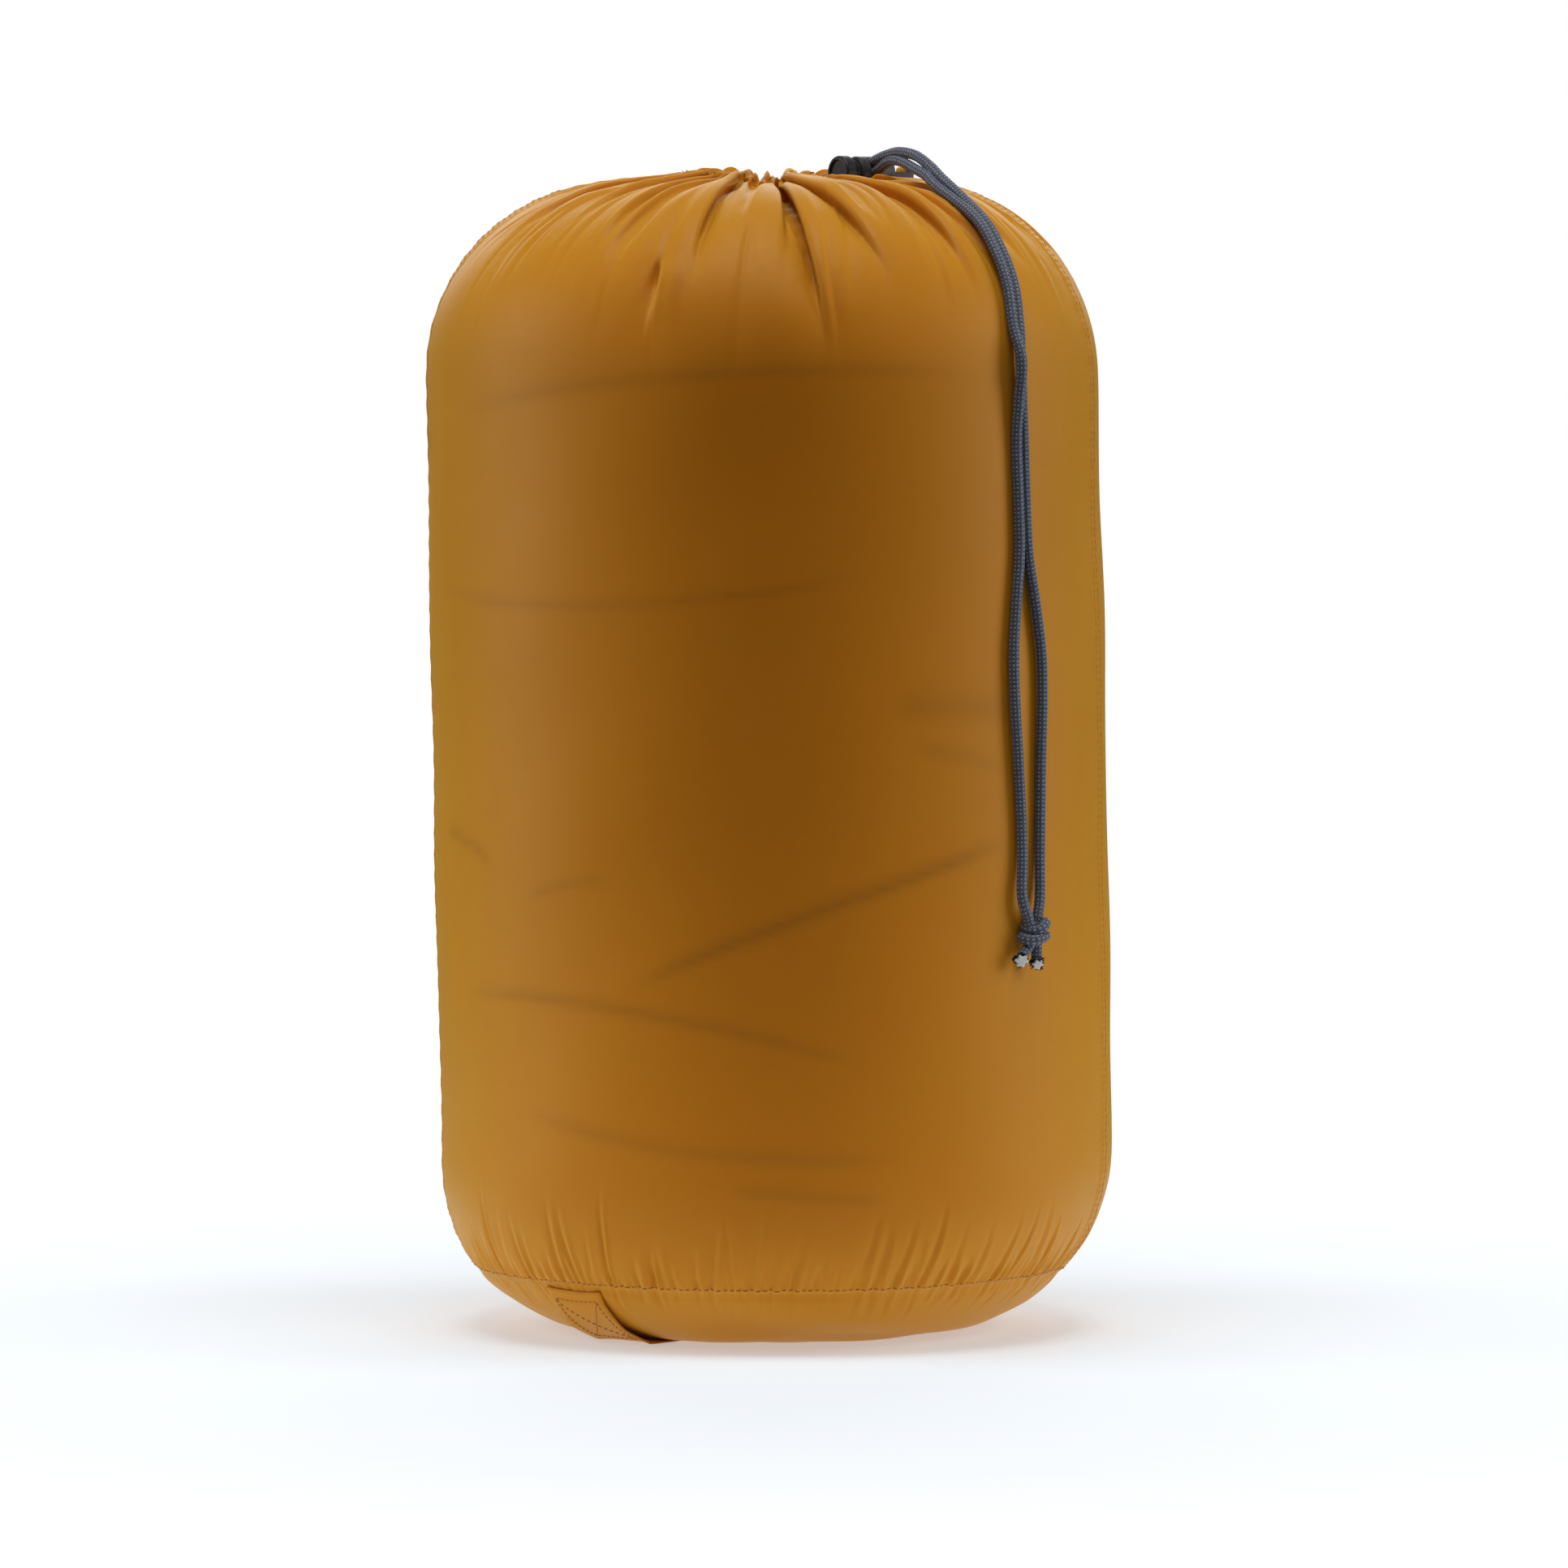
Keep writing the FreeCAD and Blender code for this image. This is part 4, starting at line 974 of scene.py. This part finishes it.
def base_height(radius):
    """Height of the plain base at a distance from its middle."""
    beyond = np.clip(radius - PATCH_RADIUS, 0, BASE_CURVE * 0.999)
    return BASE_CURVE - np.sqrt(BASE_CURVE**2 - beyond**2)


def base_grid():
    """The bulging base, from its middle out to the seam, with a bed for the handle."""
    tilt = math.degrees(math.asin((SEAM_RADIUS - PATCH_RADIUS) / BASE_CURVE))
    bulge = arc(PATCH_RADIUS, BASE_CURVE, BASE_CURVE, -90, -90 + tilt, 46)
    middle = np.stack([np.linspace(0.2 * MM, PATCH_RADIUS, 40), np.zeros(40)], 1)
    line = np.concatenate([middle[:-1], bulge])
    inwards = lengths(line)[-1] - lengths(line)
    base = around(azimuth[None], line[:, :1], line[:, 1:])
    depth = pucker_depth(azimuth, line[:, 0], inwards, 0.5, 0.6)
    sag = lumps(azimuth, line[:, 0], 0.45 * MM, 0.05, 0.02)
    depth += (sag + 0.5 * MM) * smooth_step(line[:, 0], 0.0, 0.02)[:, None]
    depth *= smooth_step(inwards, 0, 3 * MM)[:, None]
    base = base - normals_of(base) * depth[..., None]
    along = np.abs(base @ STRAP_ALONG)
    across = np.abs(base @ STRAP_ACROSS)
    bed = STRAP_BED * (1 - smooth_step(across, STRAP_WIDTH / 2 + 0.5 * MM, STRAP_WIDTH / 2 + 4 * MM))
    bed *= 1 - smooth_step(along, 0.068, STRAP_HOLD)
    base[..., 2] = np.maximum(base[..., 2], bed)
    keep = (1 - smooth_step(inwards, 0, 4 * MM))[:, None, None]
    return base + (skin[0] - base[-1])[None] * keep, inwards


base, base_places = base_grid()
cloth_piece("base_panel_cloth", "base_panel", base, True, base_places, PATCH_RADIUS)

# ------------------------------------------------------------------- stitching

THREAD_RADIUS = 0.24 * MM
STITCH_PITCH = 2.45 * MM
STITCH_SHARE = 0.72
STITCH_SIDES = 6
# A stitch's section: place along it, height over the cloth and thickness, in its own size.
STITCH = np.array([(-0.5, -0.9, 0.55), (-0.38, 0.15, 0.95), (-0.12, 0.55, 1.0), (0.12, 0.55, 1.0),
                   (0.38, 0.15, 0.95), (0.5, -0.9, 0.55)])


def stitched(name, lines, body, stands_for, pitch=STITCH_PITCH, radius=THREAD_RADIUS):
    """Separate stitches along lines. Each line is a pair: points on the cloth, and normals there."""
    turn = np.linspace(0, 2 * math.pi, STITCH_SIDES, endpoint=False)
    along, lift, thick = STITCH.T[..., None]
    stitches = []
    for line, normals in lines:
        total = lengths(line)[-1]
        count = max(2, round(total / pitch))
        middles = (np.arange(count) + 0.5) * total / count
        ahead = unit(at_lengths(line, middles + 0.2 * pitch) - at_lengths(line, middles - 0.2 * pitch))
        up = np.stack([np.interp(middles, lengths(line), normals[:, k]) for k in range(3)], 1)
        up = unit(up - ahead * (up * ahead).sum(1, keepdims=True))
        for place, forward, upward in zip(at_lengths(line, middles), ahead, up):
            centres = place + forward * along * pitch * STITCH_SHARE + upward * lift * radius
            ring = across_and_up(turn, np.cross(upward, forward), upward) * radius
            points = centres[:, None] + ring * thick[..., None]
            stitches.append((points.reshape(-1, 3), closed_rings(len(STITCH), STITCH_SIDES)))
    make_piece(name, *joined(stitches), THREAD, "thread", body, stands_for)


def row_at(row_places, place):
    """The number of the row nearest to a distance along the cloth."""
    return int(np.argmin(np.abs(row_places - place)))


def ring_stitches(name, node, grid, row):
    """Stitches all the way round a row of a grid."""
    columns = np.append(np.arange(len(azimuth)), 0)
    stitched(name, [(grid[row, columns], normals_of(grid)[row, columns])], "sack", [node])


seam_row = row_at(places, 2.2 * MM)
ring_stitches("base_seam_stitches", "base_seam_thread", skin, seam_row)
ring_stitches("casing_stitches", "casing_thread", hem, row_at(hem_places, 2.5 * MM))
skin_normals = normals_of(skin)


def side_stitches(name, node, seam, side):
    """Two rows of stitching along a felled side seam, from the base to the gathers."""
    rows = np.arange(seam_row + 3, row_at(places, skin_length - 0.04))
    lines = []
    for offset in (1.4, 5.8):
        column = column_at(seam + side * math.degrees(offset * MM / BODY_RADIUS)) % len(azimuth)
        up = skin_normals[rows, column]
        lines.append((skin[rows, column] - up * 0.08 * MM, up))
    stitched(name, lines, "sack", [node], radius=0.16 * MM)


side_stitches("right_seam_stitches", "right_seam_thread", RIGHT_SEAM, -1)
side_stitches("left_seam_stitches", "left_seam_thread", LEFT_SEAM, 1)

# ------------------------------------------------------------------ pull handle


def slab(name, grid, normals, thickness, body=None, stands_for=()):
    """A strip of cloth with rounded edges from a grid of rows along it and columns across it."""
    half = thickness / 2
    if np.cross(grid[0, 1] - grid[0, 0], grid[1, 0] - grid[0, 0]) @ normals[0, 0] < 0:
        grid, normals = grid[:, ::-1], normals[:, ::-1]
    outer = grid + normals * half
    inner = (grid - normals * half)[:, ::-1]
    left = grid[:, :1] + unit(grid[:, :1] - grid[:, 1:2]) * half
    right = grid[:, -1:] + unit(grid[:, -1:] - grid[:, -2:-1]) * half
    section = np.concatenate([outer, right, inner, left], 1)
    faces = closed_rings(*section.shape[:2])
    return make_piece(name, section, faces, SHELL, "shell_fabric", body, stands_for)


STRAP_COLUMNS = np.linspace(-0.5, 0.5, 13) * STRAP_WIDTH


def strap_grid(first, last, count):
    """The handle's middle surface: sewn on the base at its ends, flat on the ground between them."""
    u, v = np.meshgrid(np.linspace(first, last, count), STRAP_COLUMNS, indexing="ij")
    plan = u[..., None] * STRAP_ALONG + v[..., None] * STRAP_ACROSS
    radius = np.linalg.norm(plan, axis=-1)
    height = base_height(radius)
    rise = np.clip((radius - PATCH_RADIUS) / BASE_CURVE, 0, 0.999)
    out = plan / radius[..., None].clip(1e-6) * rise[..., None]
    out[..., 2] = -np.sqrt(1 - rise**2)
    to_edge = np.abs(v) / (STRAP_WIDTH / 2)
    wave = 0.25 * np.sin(u / 0.0043 + 1.3 * np.sign(u)) * to_edge**3
    edge = 1.3 * to_edge**4 * smooth_step(np.abs(u), 0.07, STRAP_HOLD)
    edge *= 1 - smooth_step(np.abs(u), 0.088, 0.1)
    proud = 0.9 - 1.2 * smooth_step(np.abs(u), 0.100, STRAP_END)
    sewn = plan + UPWARDS * height[..., None] + out * (proud + wave + edge)[..., None] * MM
    flat = plan + UPWARDS * (0.7 - 0.1 * wave)[..., None] * MM
    hold = smooth_step(np.abs(u), 0.050, 0.082)[..., None]
    grid = flat * (1 - hold) + sewn * hold
    return grid, unit(out * hold - UPWARDS * (1 - hold))


# The box of stitches at each end of the handle: its ends along the strap and half its width.
BOX_FROM = 0.0805
BOX_TO = 0.1020
BOX_HALF_WIDTH = 0.0098
BOX_ROWS = 60


def box_stitches(name, node, side):
    """A box of stitches with a cross in it, on one sewn end of the handle."""
    corners = {"a": (BOX_FROM, -BOX_HALF_WIDTH), "b": (BOX_TO, -BOX_HALF_WIDTH),
               "c": (BOX_TO, BOX_HALF_WIDTH), "d": (BOX_FROM, BOX_HALF_WIDTH)}
    rows = np.linspace(0.075, 0.106, BOX_ROWS)
    grid, normals = strap_grid(side * rows[0], side * rows[-1], BOX_ROWS)
    lines = []
    for first, last in ("ab", "bc", "cd", "da", "ac", "bd"):
        place = np.linspace(corners[first], corners[last], 40)
        row = np.interp(place[:, 0], rows, np.arange(BOX_ROWS))
        column = np.interp(place[:, 1], STRAP_COLUMNS, np.arange(len(STRAP_COLUMNS)))
        up = sampled(normals, row, column)
        lines.append((sampled(grid, row, column) + up * STRAP_THICK / 2, up))
    stitched(name, lines, "sack", [node], 2.2 * MM)


def handle_end(side, label):
    """One sewn end of the handle, with its stitches, and the half strap beside it."""
    end = strap_grid(side * STRAP_HOLD, side * STRAP_END, 40)
    slab(f"{label}_strap_end", *end, STRAP_THICK, "sack", [f"handle_{label}_anchor"])
    half = slab(f"{label}_half_strap", *strap_grid(0, side * STRAP_HOLD, 70), STRAP_THICK)
    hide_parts("grab_handle")
    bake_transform(half)
    box_stitches(f"{label}_box_stitches", f"handle_{label}_stitching", side)


def sampled(grid, row, column):
    """A grid's values between its points."""
    r = np.clip(np.floor(row).astype(int), 0, grid.shape[0] - 2)
    c = np.clip(np.floor(column).astype(int), 0, grid.shape[1] - 2)
    a, b = (row - r)[:, None], (column - c)[:, None]
    low = grid[r, c] * (1 - b) + grid[r, c + 1] * b
    high = grid[r + 1, c] * (1 - b) + grid[r + 1, c + 1] * b
    return low * (1 - a) + high * a


handle_end(-1, "front")
handle_end(1, "rear")

# -------------------------------------------------------------------- drawcord

BRAID_CARRIERS = 8
BRAID_PITCH = 1.45 * MM
BRAID_DEPTH = 0.34 * MM
# How much darker the painted shade is on a carrier where it lies under the other one.
BRAID_UNDER_SHADE = 0.38
BRAID_SIDES = 36
BRAID_STEP = 0.26 * MM


def braid_pattern(along, turn):
    """Height of the braid and its painted shade, both from 0 to 1, at distances along the cord and angles
    round it; the shade is deepest in the gaps and on carriers that lie under.
    """
    right = BRAID_CARRIERS * turn / (2 * math.pi) + along / BRAID_PITCH
    left = BRAID_CARRIERS * turn / (2 * math.pi) - along / BRAID_PITCH
    over = (np.floor(right) - np.floor(left)) % 2 == 0
    right_bump = np.sin(math.pi * (right % 1))
    left_bump = np.sin(math.pi * (left % 1))
    top = np.where(over, right_bump, left_bump)
    other = np.where(over, left_bump, right_bump)
    height = top**0.7 * (0.55 + 0.45 * other)
    return height, height * np.where(over, 1, BRAID_UNDER_SHADE)


def braided(line):
    """A braided cord along a line: rings of points, and the braid's painted shade on them."""
    total = lengths(line)[-1]
    count = max(4, round(total / BRAID_STEP))
    along = np.linspace(0, total, count)
    turn = np.linspace(0, 2 * math.pi, BRAID_SIDES, endpoint=False)
    height, shade = braid_pattern(along[:, None], turn[None])
    reach = CORD_RADIUS + BRAID_DEPTH * (height - 0.35)
    points, _ = tube(at_lengths(line, along), reach, BRAID_SIDES)
    return points.reshape(count, BRAID_SIDES, 3), shade


def cords(name, parts, body=None, stands_for=()):
    """One piece made of several braided cords."""
    tubes, shades = [], []
    for rings, shade in parts:
        sides = quads(len(rings), BRAID_SIDES, True)
        tubes.append(capped(rings.reshape(-1, 3), sides, BRAID_SIDES))
        shades += [shade.ravel(), [0, 0]]
    piece = make_piece(name, *joined(tubes), CORD, "cord", body, stands_for)
    add_values(piece, "braid", np.concatenate(shades))
    return piece


BRAIDED_STRANDS = [braided(line) for line in STRANDS.values()]


def strand_between(strand, high, low):
    """The rings of a strand between two heights on its way down."""
    rings, shade = strand
    level = rings[..., 2].mean(1)
    peak = int(np.argmax(level))
    first = 0 if high is None else peak + int(np.argmax(level[peak:] <= high))
    last = len(level) if low is None else peak + int(np.argmax(level[peak:] <= low)) + 1
    return rings[first:last], shade[first:last]


def cord_part(name, high, low, nodes):
    """Both strands between two heights, in one piece."""
    parts = [strand_between(strand, high, low) for strand in BRAIDED_STRANDS]
    piece = cords(name, parts, stands_for=nodes)
    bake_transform(piece)


lift_at, swing_at, curl_at = [joints[name]["pos_m"][2] for name in ("tail_lift", "tail_swing", "tail_curl")]
upper_cut = (lift_at + swing_at) / 2
lower_cut = (swing_at + curl_at) / 2
cord_part("cord_over_shoulder", None, upper_cut,
          ["drawcord_arch", "drawcord_tail_upper"])
cord_part("cord_hanging_middle", upper_cut, lower_cut,
          ["drawcord_tail_middle"])
cord_part("cord_hanging_end", lower_cut, None,
          ["drawcord_tail_lower"])


def cord_in_casing():
    """The cord inside the gathers, which lies low but for one rise at the back."""
    turn = 90 + np.linspace(11, 349, 90)
    height = LOOP_HEIGHT + (0.1 + 7.8 * hump(wrapped(turn - CORD_RISE), 0, 10)) * MM
    line = around(turn, LOOP_RADIUS + 0.8 * MM, height)
    cords("cord_in_casing", [braided(line)], "sack", ["drawcord_loop"])


cord_in_casing()

# ------------------------------------------------------------ knot and cord ends

KNOT_CENTRE = leaning(OUTWARDS * (TAIL_RADIUS + 2.7 * MM) - SIDEWAYS * 2.3 * MM + UPWARDS * 0.1474)


def at_knot(sideways, outwards, upwards):
    """A point by its distances (mm) from the knot's middle."""
    return KNOT_CENTRE + (SIDEWAYS * sideways + OUTWARDS * outwards + UPWARDS * upwards) * MM


def knot_line(points):
    """A smooth line through points given by their distances (mm) from the knot's middle."""
    return refined([at_knot(*point) for point in points], 8)


def knot_wrap(middle, rise, lean, wide, deep, turns, first):
    """A turn of cord round the knot, leaning sideways."""
    angle = np.radians(np.linspace(first, first + 360 * turns, 60))[:, None]
    height = rise + lean * np.cos(angle) + 0.4 * np.sin(2 * angle)
    return at_knot(middle + wide * np.cos(angle), deep * np.sin(angle), height)


def knot():
    """An overhand knot of both strands, with two short ends."""
    lines = [
        knot_wrap(0.8, 2.1, 1.2, 3.2, 3.7, 1.04, 200),
        knot_wrap(-0.2, -1.7, 0.3, 4.3, 3.9, 1.04, 20),
        knot_line([(1.6, 0, 3.2), (0.9, 0.4, 1), (-0.6, 0.2, -1.5), (-2.4, 0.1, -4.2), (-4.8, 0.0, -6.4),
                   (-6.2, 0.1, -7.9)]),
        knot_line([(-1.6, 0, 3.2), (-0.6, 0.6, 0.6), (0.8, 0.2, -1.8), (1.2, 0.3, -4.6), (1.2, 0.2, -7.6),
                   (1.1, 0.3, -9.4)]),
    ]
    cords("knot_wraps", [braided(line) for line in lines], "cord_lower", ["drawcord_knot"])


# Each cut end: the middle of its star (mm from the knot's middle), the way it faces, and radius.
CUT_ENDS = [((-7.6, 0.9, -9.6), (-0.50, 0.76, -0.40), 2.2), ((0.5, 1.4, -11.2), (-0.45, 0.76, -0.46), 1.8)]
# A star's rings, back to front: depth (mm) and share of its radius.
STAR_RINGS = [(-2.6, 0.42), (-1.0, 0.62), (-0.35, 0.95), (0.0, 1.0), (0.35, 0.9), (0.55, 0.6),
              (0.45, 0.25), (0.42, 0.04)]
STAR_LOBES = 6
STAR_SIDES = 48
YARNS = 44


def cut_end_frame(facing):
    """The directions at a cut end: the way it faces, to its right and up."""
    forward = unit(SIDEWAYS * facing[0] + OUTWARDS * facing[1] + UPWARDS * facing[2])
    right = unit(np.cross(UPWARDS, forward))
    return forward, right, np.cross(forward, right)


def melted_cores():
    """The white core of each cut end, melted to a small lobed star."""
    turn = np.linspace(0, 2 * math.pi, STAR_SIDES, endpoint=False)
    lobed = 0.20 * np.cos(STAR_LOBES * turn + 0.7) + 0.06 * np.sin(3 * turn)
    stars = []
    for place, facing, radius in CUT_ENDS:
        forward, right, up = cut_end_frame(facing)
        ring = across_and_up(turn, right, up)
        points = []
        for depth, share in STAR_RINGS:
            reach = radius * share * (1 + lobed * min(1, share + 0.2))
            points.append(at_knot(*place) + (ring * reach[:, None] + forward * depth) * MM)
        stars.append((np.concatenate(points), closed_rings(len(STAR_RINGS), STAR_SIDES)))
    make_piece("melted_cores", *joined(stars), CORE, "cord_core", "cord_lower", ["cord_core_tips"])


def frayed_sheath():
    """Loose yarns of the sheath round each cut end."""
    yarns = []
    for place, facing, _ in CUT_ENDS:
        forward, right, up = cut_end_frame(facing)
        root = at_knot(*place) - forward * 2.4 * MM
        for yarn in range(YARNS):
            turn = 2 * math.pi * (yarn + random.uniform(-0.3, 0.3)) / YARNS
            ring = right * math.cos(turn) + up * math.sin(turn)
            reach = random.uniform(1.2, 2.0)
            length = random.uniform(0.9, 2.3)
            spread = random.uniform(0.3, 1.7)
            line = refined([
                root + ring * reach * 0.75 * MM,
                root + (ring * (reach + 0.25 * spread) + forward * 0.5 * length) * MM,
                root + (ring * (reach + spread) + forward * length) * MM,
            ], 4)
            thick = np.linspace(0.36, 0.20, len(line))[:, None] * MM * random.uniform(0.8, 1.3)
            yarns.append(capped(*tube(line, thick, 6), 6))
    piece = make_piece("frayed_sheath", *joined(yarns), CORD, "cord", "cord_lower")
    # The loose yarns get the darkest painted shade, that of the gaps.
    add_values(piece, "braid", np.full(len(piece.data.vertices), GAP_SHADE))


knot()
melted_cores()
frayed_sheath()

# ------------------------------------------------------------- lock and tether


def dress_lock():
    """The lock's barrel and button, which keep their exact shapes and get their own material."""
    for node in ("lock_barrel", "lock_button"):
        part = frame["nodes"][node]
        part.data.materials.clear()
        part.data.materials.append(PLASTIC)


SPRING_WIRE = 0.3 * MM
SPRING_PITCH = 1.25 * MM


def return_spring():
    """The coil that pushes the button out."""
    low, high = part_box("lock_spring")
    axis = np.array(LOCK_AXIS)
    wide = high.z - low.z
    length = (high.x - low.x - wide * abs(axis[1])) / abs(axis[0])
    reach = length / 2 - SPRING_WIRE
    turns = 2 * reach / SPRING_PITCH
    angle = np.linspace(0, 2 * math.pi * turns, round(24 * turns))
    coil = across_and_up(angle, np.cross(UPWARDS, axis), UPWARDS) * (wide / 2 - SPRING_WIRE)
    middle = np.array((low + high) / 2)
    line = middle + axis * np.linspace(-reach, reach, len(angle))[:, None] + coil
    points, faces = capped(*tube(line, SPRING_WIRE, 10), 10)
    spring = make_piece("return_spring", points, faces, WIRE, "spring_steel", "cord_lock", ["lock_spring"])
    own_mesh(spring)


ACROSS_LOCK = np.cross(UPWARDS, LOCK_AXIS)
# The tether's middle line, from the gathers through the slot and back: place along the barrel from
# its hole, and height (mm).
TETHER = [(-27.5, -3.4), (-24, -2.9), (-20.3, -2.6), (-19.1, -1.0), (-19.0, 0.9), (-18.0, 1.9),
          (-16.2, 1.7), (-15.6, 0.2), (-15.9, -1.6), (-17.8, -3.0), (-21.5, -3.7), (-26.5, -4.3)]
TETHER_HALF_WIDTH = 2.6
TETHER_THICK = 0.5 * MM


def in_lock(along, across, upwards):
    """A point by distances (mm) along the barrel from its hole, sideways and up."""
    return np.array(LOCK_HOLE) + (np.array(LOCK_AXIS) * along + ACROSS_LOCK * across + UPWARDS * upwards) * MM


def tether():
    """A folded loop of shell cloth through the tail plate's slot, tacked to the gathers."""
    path = refined([in_lock(along, 0, height) for along, height in TETHER], 5)
    offsets = np.linspace(-TETHER_HALF_WIDTH, TETHER_HALF_WIDTH, 7) * MM
    grid = path[:, None] + offsets[None, :, None] * ACROSS_LOCK
    normal = unit(np.cross(np.gradient(path, axis=0), ACROSS_LOCK))
    normals = np.repeat(normal[:, None], len(offsets), 1)
    slab("tether_loop", grid, normals, TETHER_THICK, "sack", ["tether_tab"])
    across = np.linspace(-2.2, 2.2, 12)[:, None]
    up = np.tile(UPWARDS, (len(across), 1))
    lines = [(in_lock(-26.6 + 0.9 * step, across, -3.0 + 0.12 * step), up) for step in range(5)]
    stitched("tether_bar_stitches", lines, "sack", ["tether_bar_tack"], 1.5 * MM)


dress_lock()
return_spring()
tether()

# ----------------------------------------------------------------- the contents


def packed_contents():
    """The quilted bag inside, a lumpy closed shape that stays under the skin."""
    patch = [[0.0005, 0.008], [0.03, 0.008]]
    heel = arc(0.060, 0.056, 0.048, -88, 0, 30)
    shoulder = arc(0.056, 0.340, 0.052, 0, 90, 30)
    top = [[0.03, 0.3915], [0.0005, 0.391]]
    line = np.concatenate([patch, heel, shoulder, top])
    line = at_lengths(line, np.linspace(0, lengths(line)[-1], 150))
    turns = azimuths(160)
    fill = around(turns[None], line[:, :1], line[:, 1:])
    quilting = 1.2 * np.abs(np.sin(line[:, 1:] * math.pi / 0.045)) ** 0.5 - 1.2
    lump = lumps(turns, line[:, 1], 0.8 * MM, 0.15, 0.05) + quilting * MM
    fill = fill + normals_of(fill) * (lump * smooth_step(line[:, :1], 0.004, 0.02))[..., None]
    faces = quads(*fill.shape[:2], True)
    make_piece("packed_bag", fill, faces, FILL, "packed_fill", "sack", ["stuffed_contents"])


packed_contents()

# ------------------------------------------------------------- floor and light

# How brightly the floor near the sack glows to the camera, and how much of it lights the sack.
FLOOR_GLOW = 0.37
FLOOR_LIGHT = 0.38
# The floor's colour near the sack, a little blue to offset the orange light the sack throws on it.
FLOOR_NEAR = (0.61, 0.69, 0.765)
FLOOR_HALF = 8.0


def studio_floor():
    """A floor that glows to the camera over its own lit colour near the sack and fades to plain white away
    from it; near the sack its glow also lights the sack.
    """
    mesh = bpy.data.meshes.new("floor")
    corners = [(x * FLOOR_HALF, y * FLOOR_HALF, 0) for x, y in ((-1, -1), (1, -1), (1, 1), (-1, 1))]
    mesh.from_pydata(corners, [], [(0, 1, 2, 3)])
    floor = bpy.data.objects.new("floor", mesh)
    bpy.context.scene.collection.objects.link(floor)
    floor.location.z = -0.05 * MM
    material, node, into, _ = new_material(
        "pale_floor", FLOOR_NEAR, 0.85, Emission_Color=(1, 1, 1, 1))
    into("Roughness", between(node, noise(node, 4, 2), 0.8, 0.9))
    place = node("ShaderNodeTexCoord").outputs["Object"]
    away = node("ShaderNodeVectorMath", {0: place}, operation="LENGTH").outputs["Value"]
    white = stretched(node, away, 0.16, 0.75, interpolation_type="SMOOTHSTEP")
    seen = node("ShaderNodeLightPath").outputs["Is Camera Ray"]
    glow = between(node, white, FLOOR_GLOW, 1.0)
    unseen_glow = between(node, white, FLOOR_LIGHT, 0.0)
    into("Emission Strength", between(node, seen, unseen_glow, glow))
    into("Base Color", mixed(node, white, FLOOR_NEAR, (0, 0, 0)))
    mesh.materials.append(material)


LIT_MIDDLE = Vector((0, 0, 0.2))


def soft_box(name, place, width, height, power):
    """A large soft lamp that points at the sack's middle."""
    lamp = bpy.data.lights.new(name, "AREA")
    lamp.shape = "RECTANGLE"
    lamp.size = width
    lamp.size_y = height
    lamp.energy = power
    light = bpy.data.objects.new(name, lamp)
    light.location = place
    light.rotation_euler = (LIT_MIDDLE - Vector(place)).to_track_quat("-Z", "Y").to_euler()
    light.visible_camera = False
    bpy.context.scene.collection.objects.link(light)


def white_world(to_camera, to_object):
    """A white backdrop for the camera that lights the object less strongly."""
    world = bpy.data.worlds.new("backdrop")
    bpy.context.scene.world = world
    world.use_nodes = True
    tree = world.node_tree
    background = tree.nodes["Background"]
    background.inputs["Color"].default_value = (1, 1, 1, 1)
    path = tree.nodes.new("ShaderNodeLightPath")
    strength = tree.nodes.new("ShaderNodeMapRange")
    tree.links.new(path.outputs["Is Camera Ray"], strength.inputs["Value"])
    strength.inputs["To Min"].default_value = to_object
    strength.inputs["To Max"].default_value = to_camera
    tree.links.new(strength.outputs["Result"], background.inputs["Strength"])


CAMERA_DISTANCE = 3.5
CAMERA_HEIGHT = 0.386
CAMERA_AIM = (0.0047, 0, 0.195)
FRAME_WIDTH = 0.564


def studio_camera():
    """A long lens in front of the sack, a little above its middle and turned down to it."""
    camera = bpy.data.cameras.new("camera")
    holder = bpy.data.objects.new("camera", camera)
    holder.location = (CAMERA_AIM[0], -CAMERA_DISTANCE, CAMERA_HEIGHT)
    aim = Vector(CAMERA_AIM) - holder.location
    holder.rotation_euler = aim.to_track_quat("-Z", "Y").to_euler()
    camera.sensor_width = 36
    camera.lens = camera.sensor_width * aim.length / FRAME_WIDTH
    bpy.context.scene.collection.objects.link(holder)
    bpy.context.scene.camera = holder


studio_floor()
soft_box("left_box", (-1.35, -0.05, 0.50), 0.7, 1.3, 9.3)
soft_box("right_box", (1.40, -0.05, 0.50), 0.7, 1.3, 9.8)
soft_box("top_box", (0, -0.38, 1.9), 1.2, 1.0, 19)
soft_box("back_box", (0, 1.8, 1.1), 2.0, 1.2, 14)
white_world(1.0, 0.075)
studio_camera()
bpy.context.scene.view_settings.view_transform = "Standard"

# ----------------------------------------------------------------------- finish

bpy.context.view_layer.update()
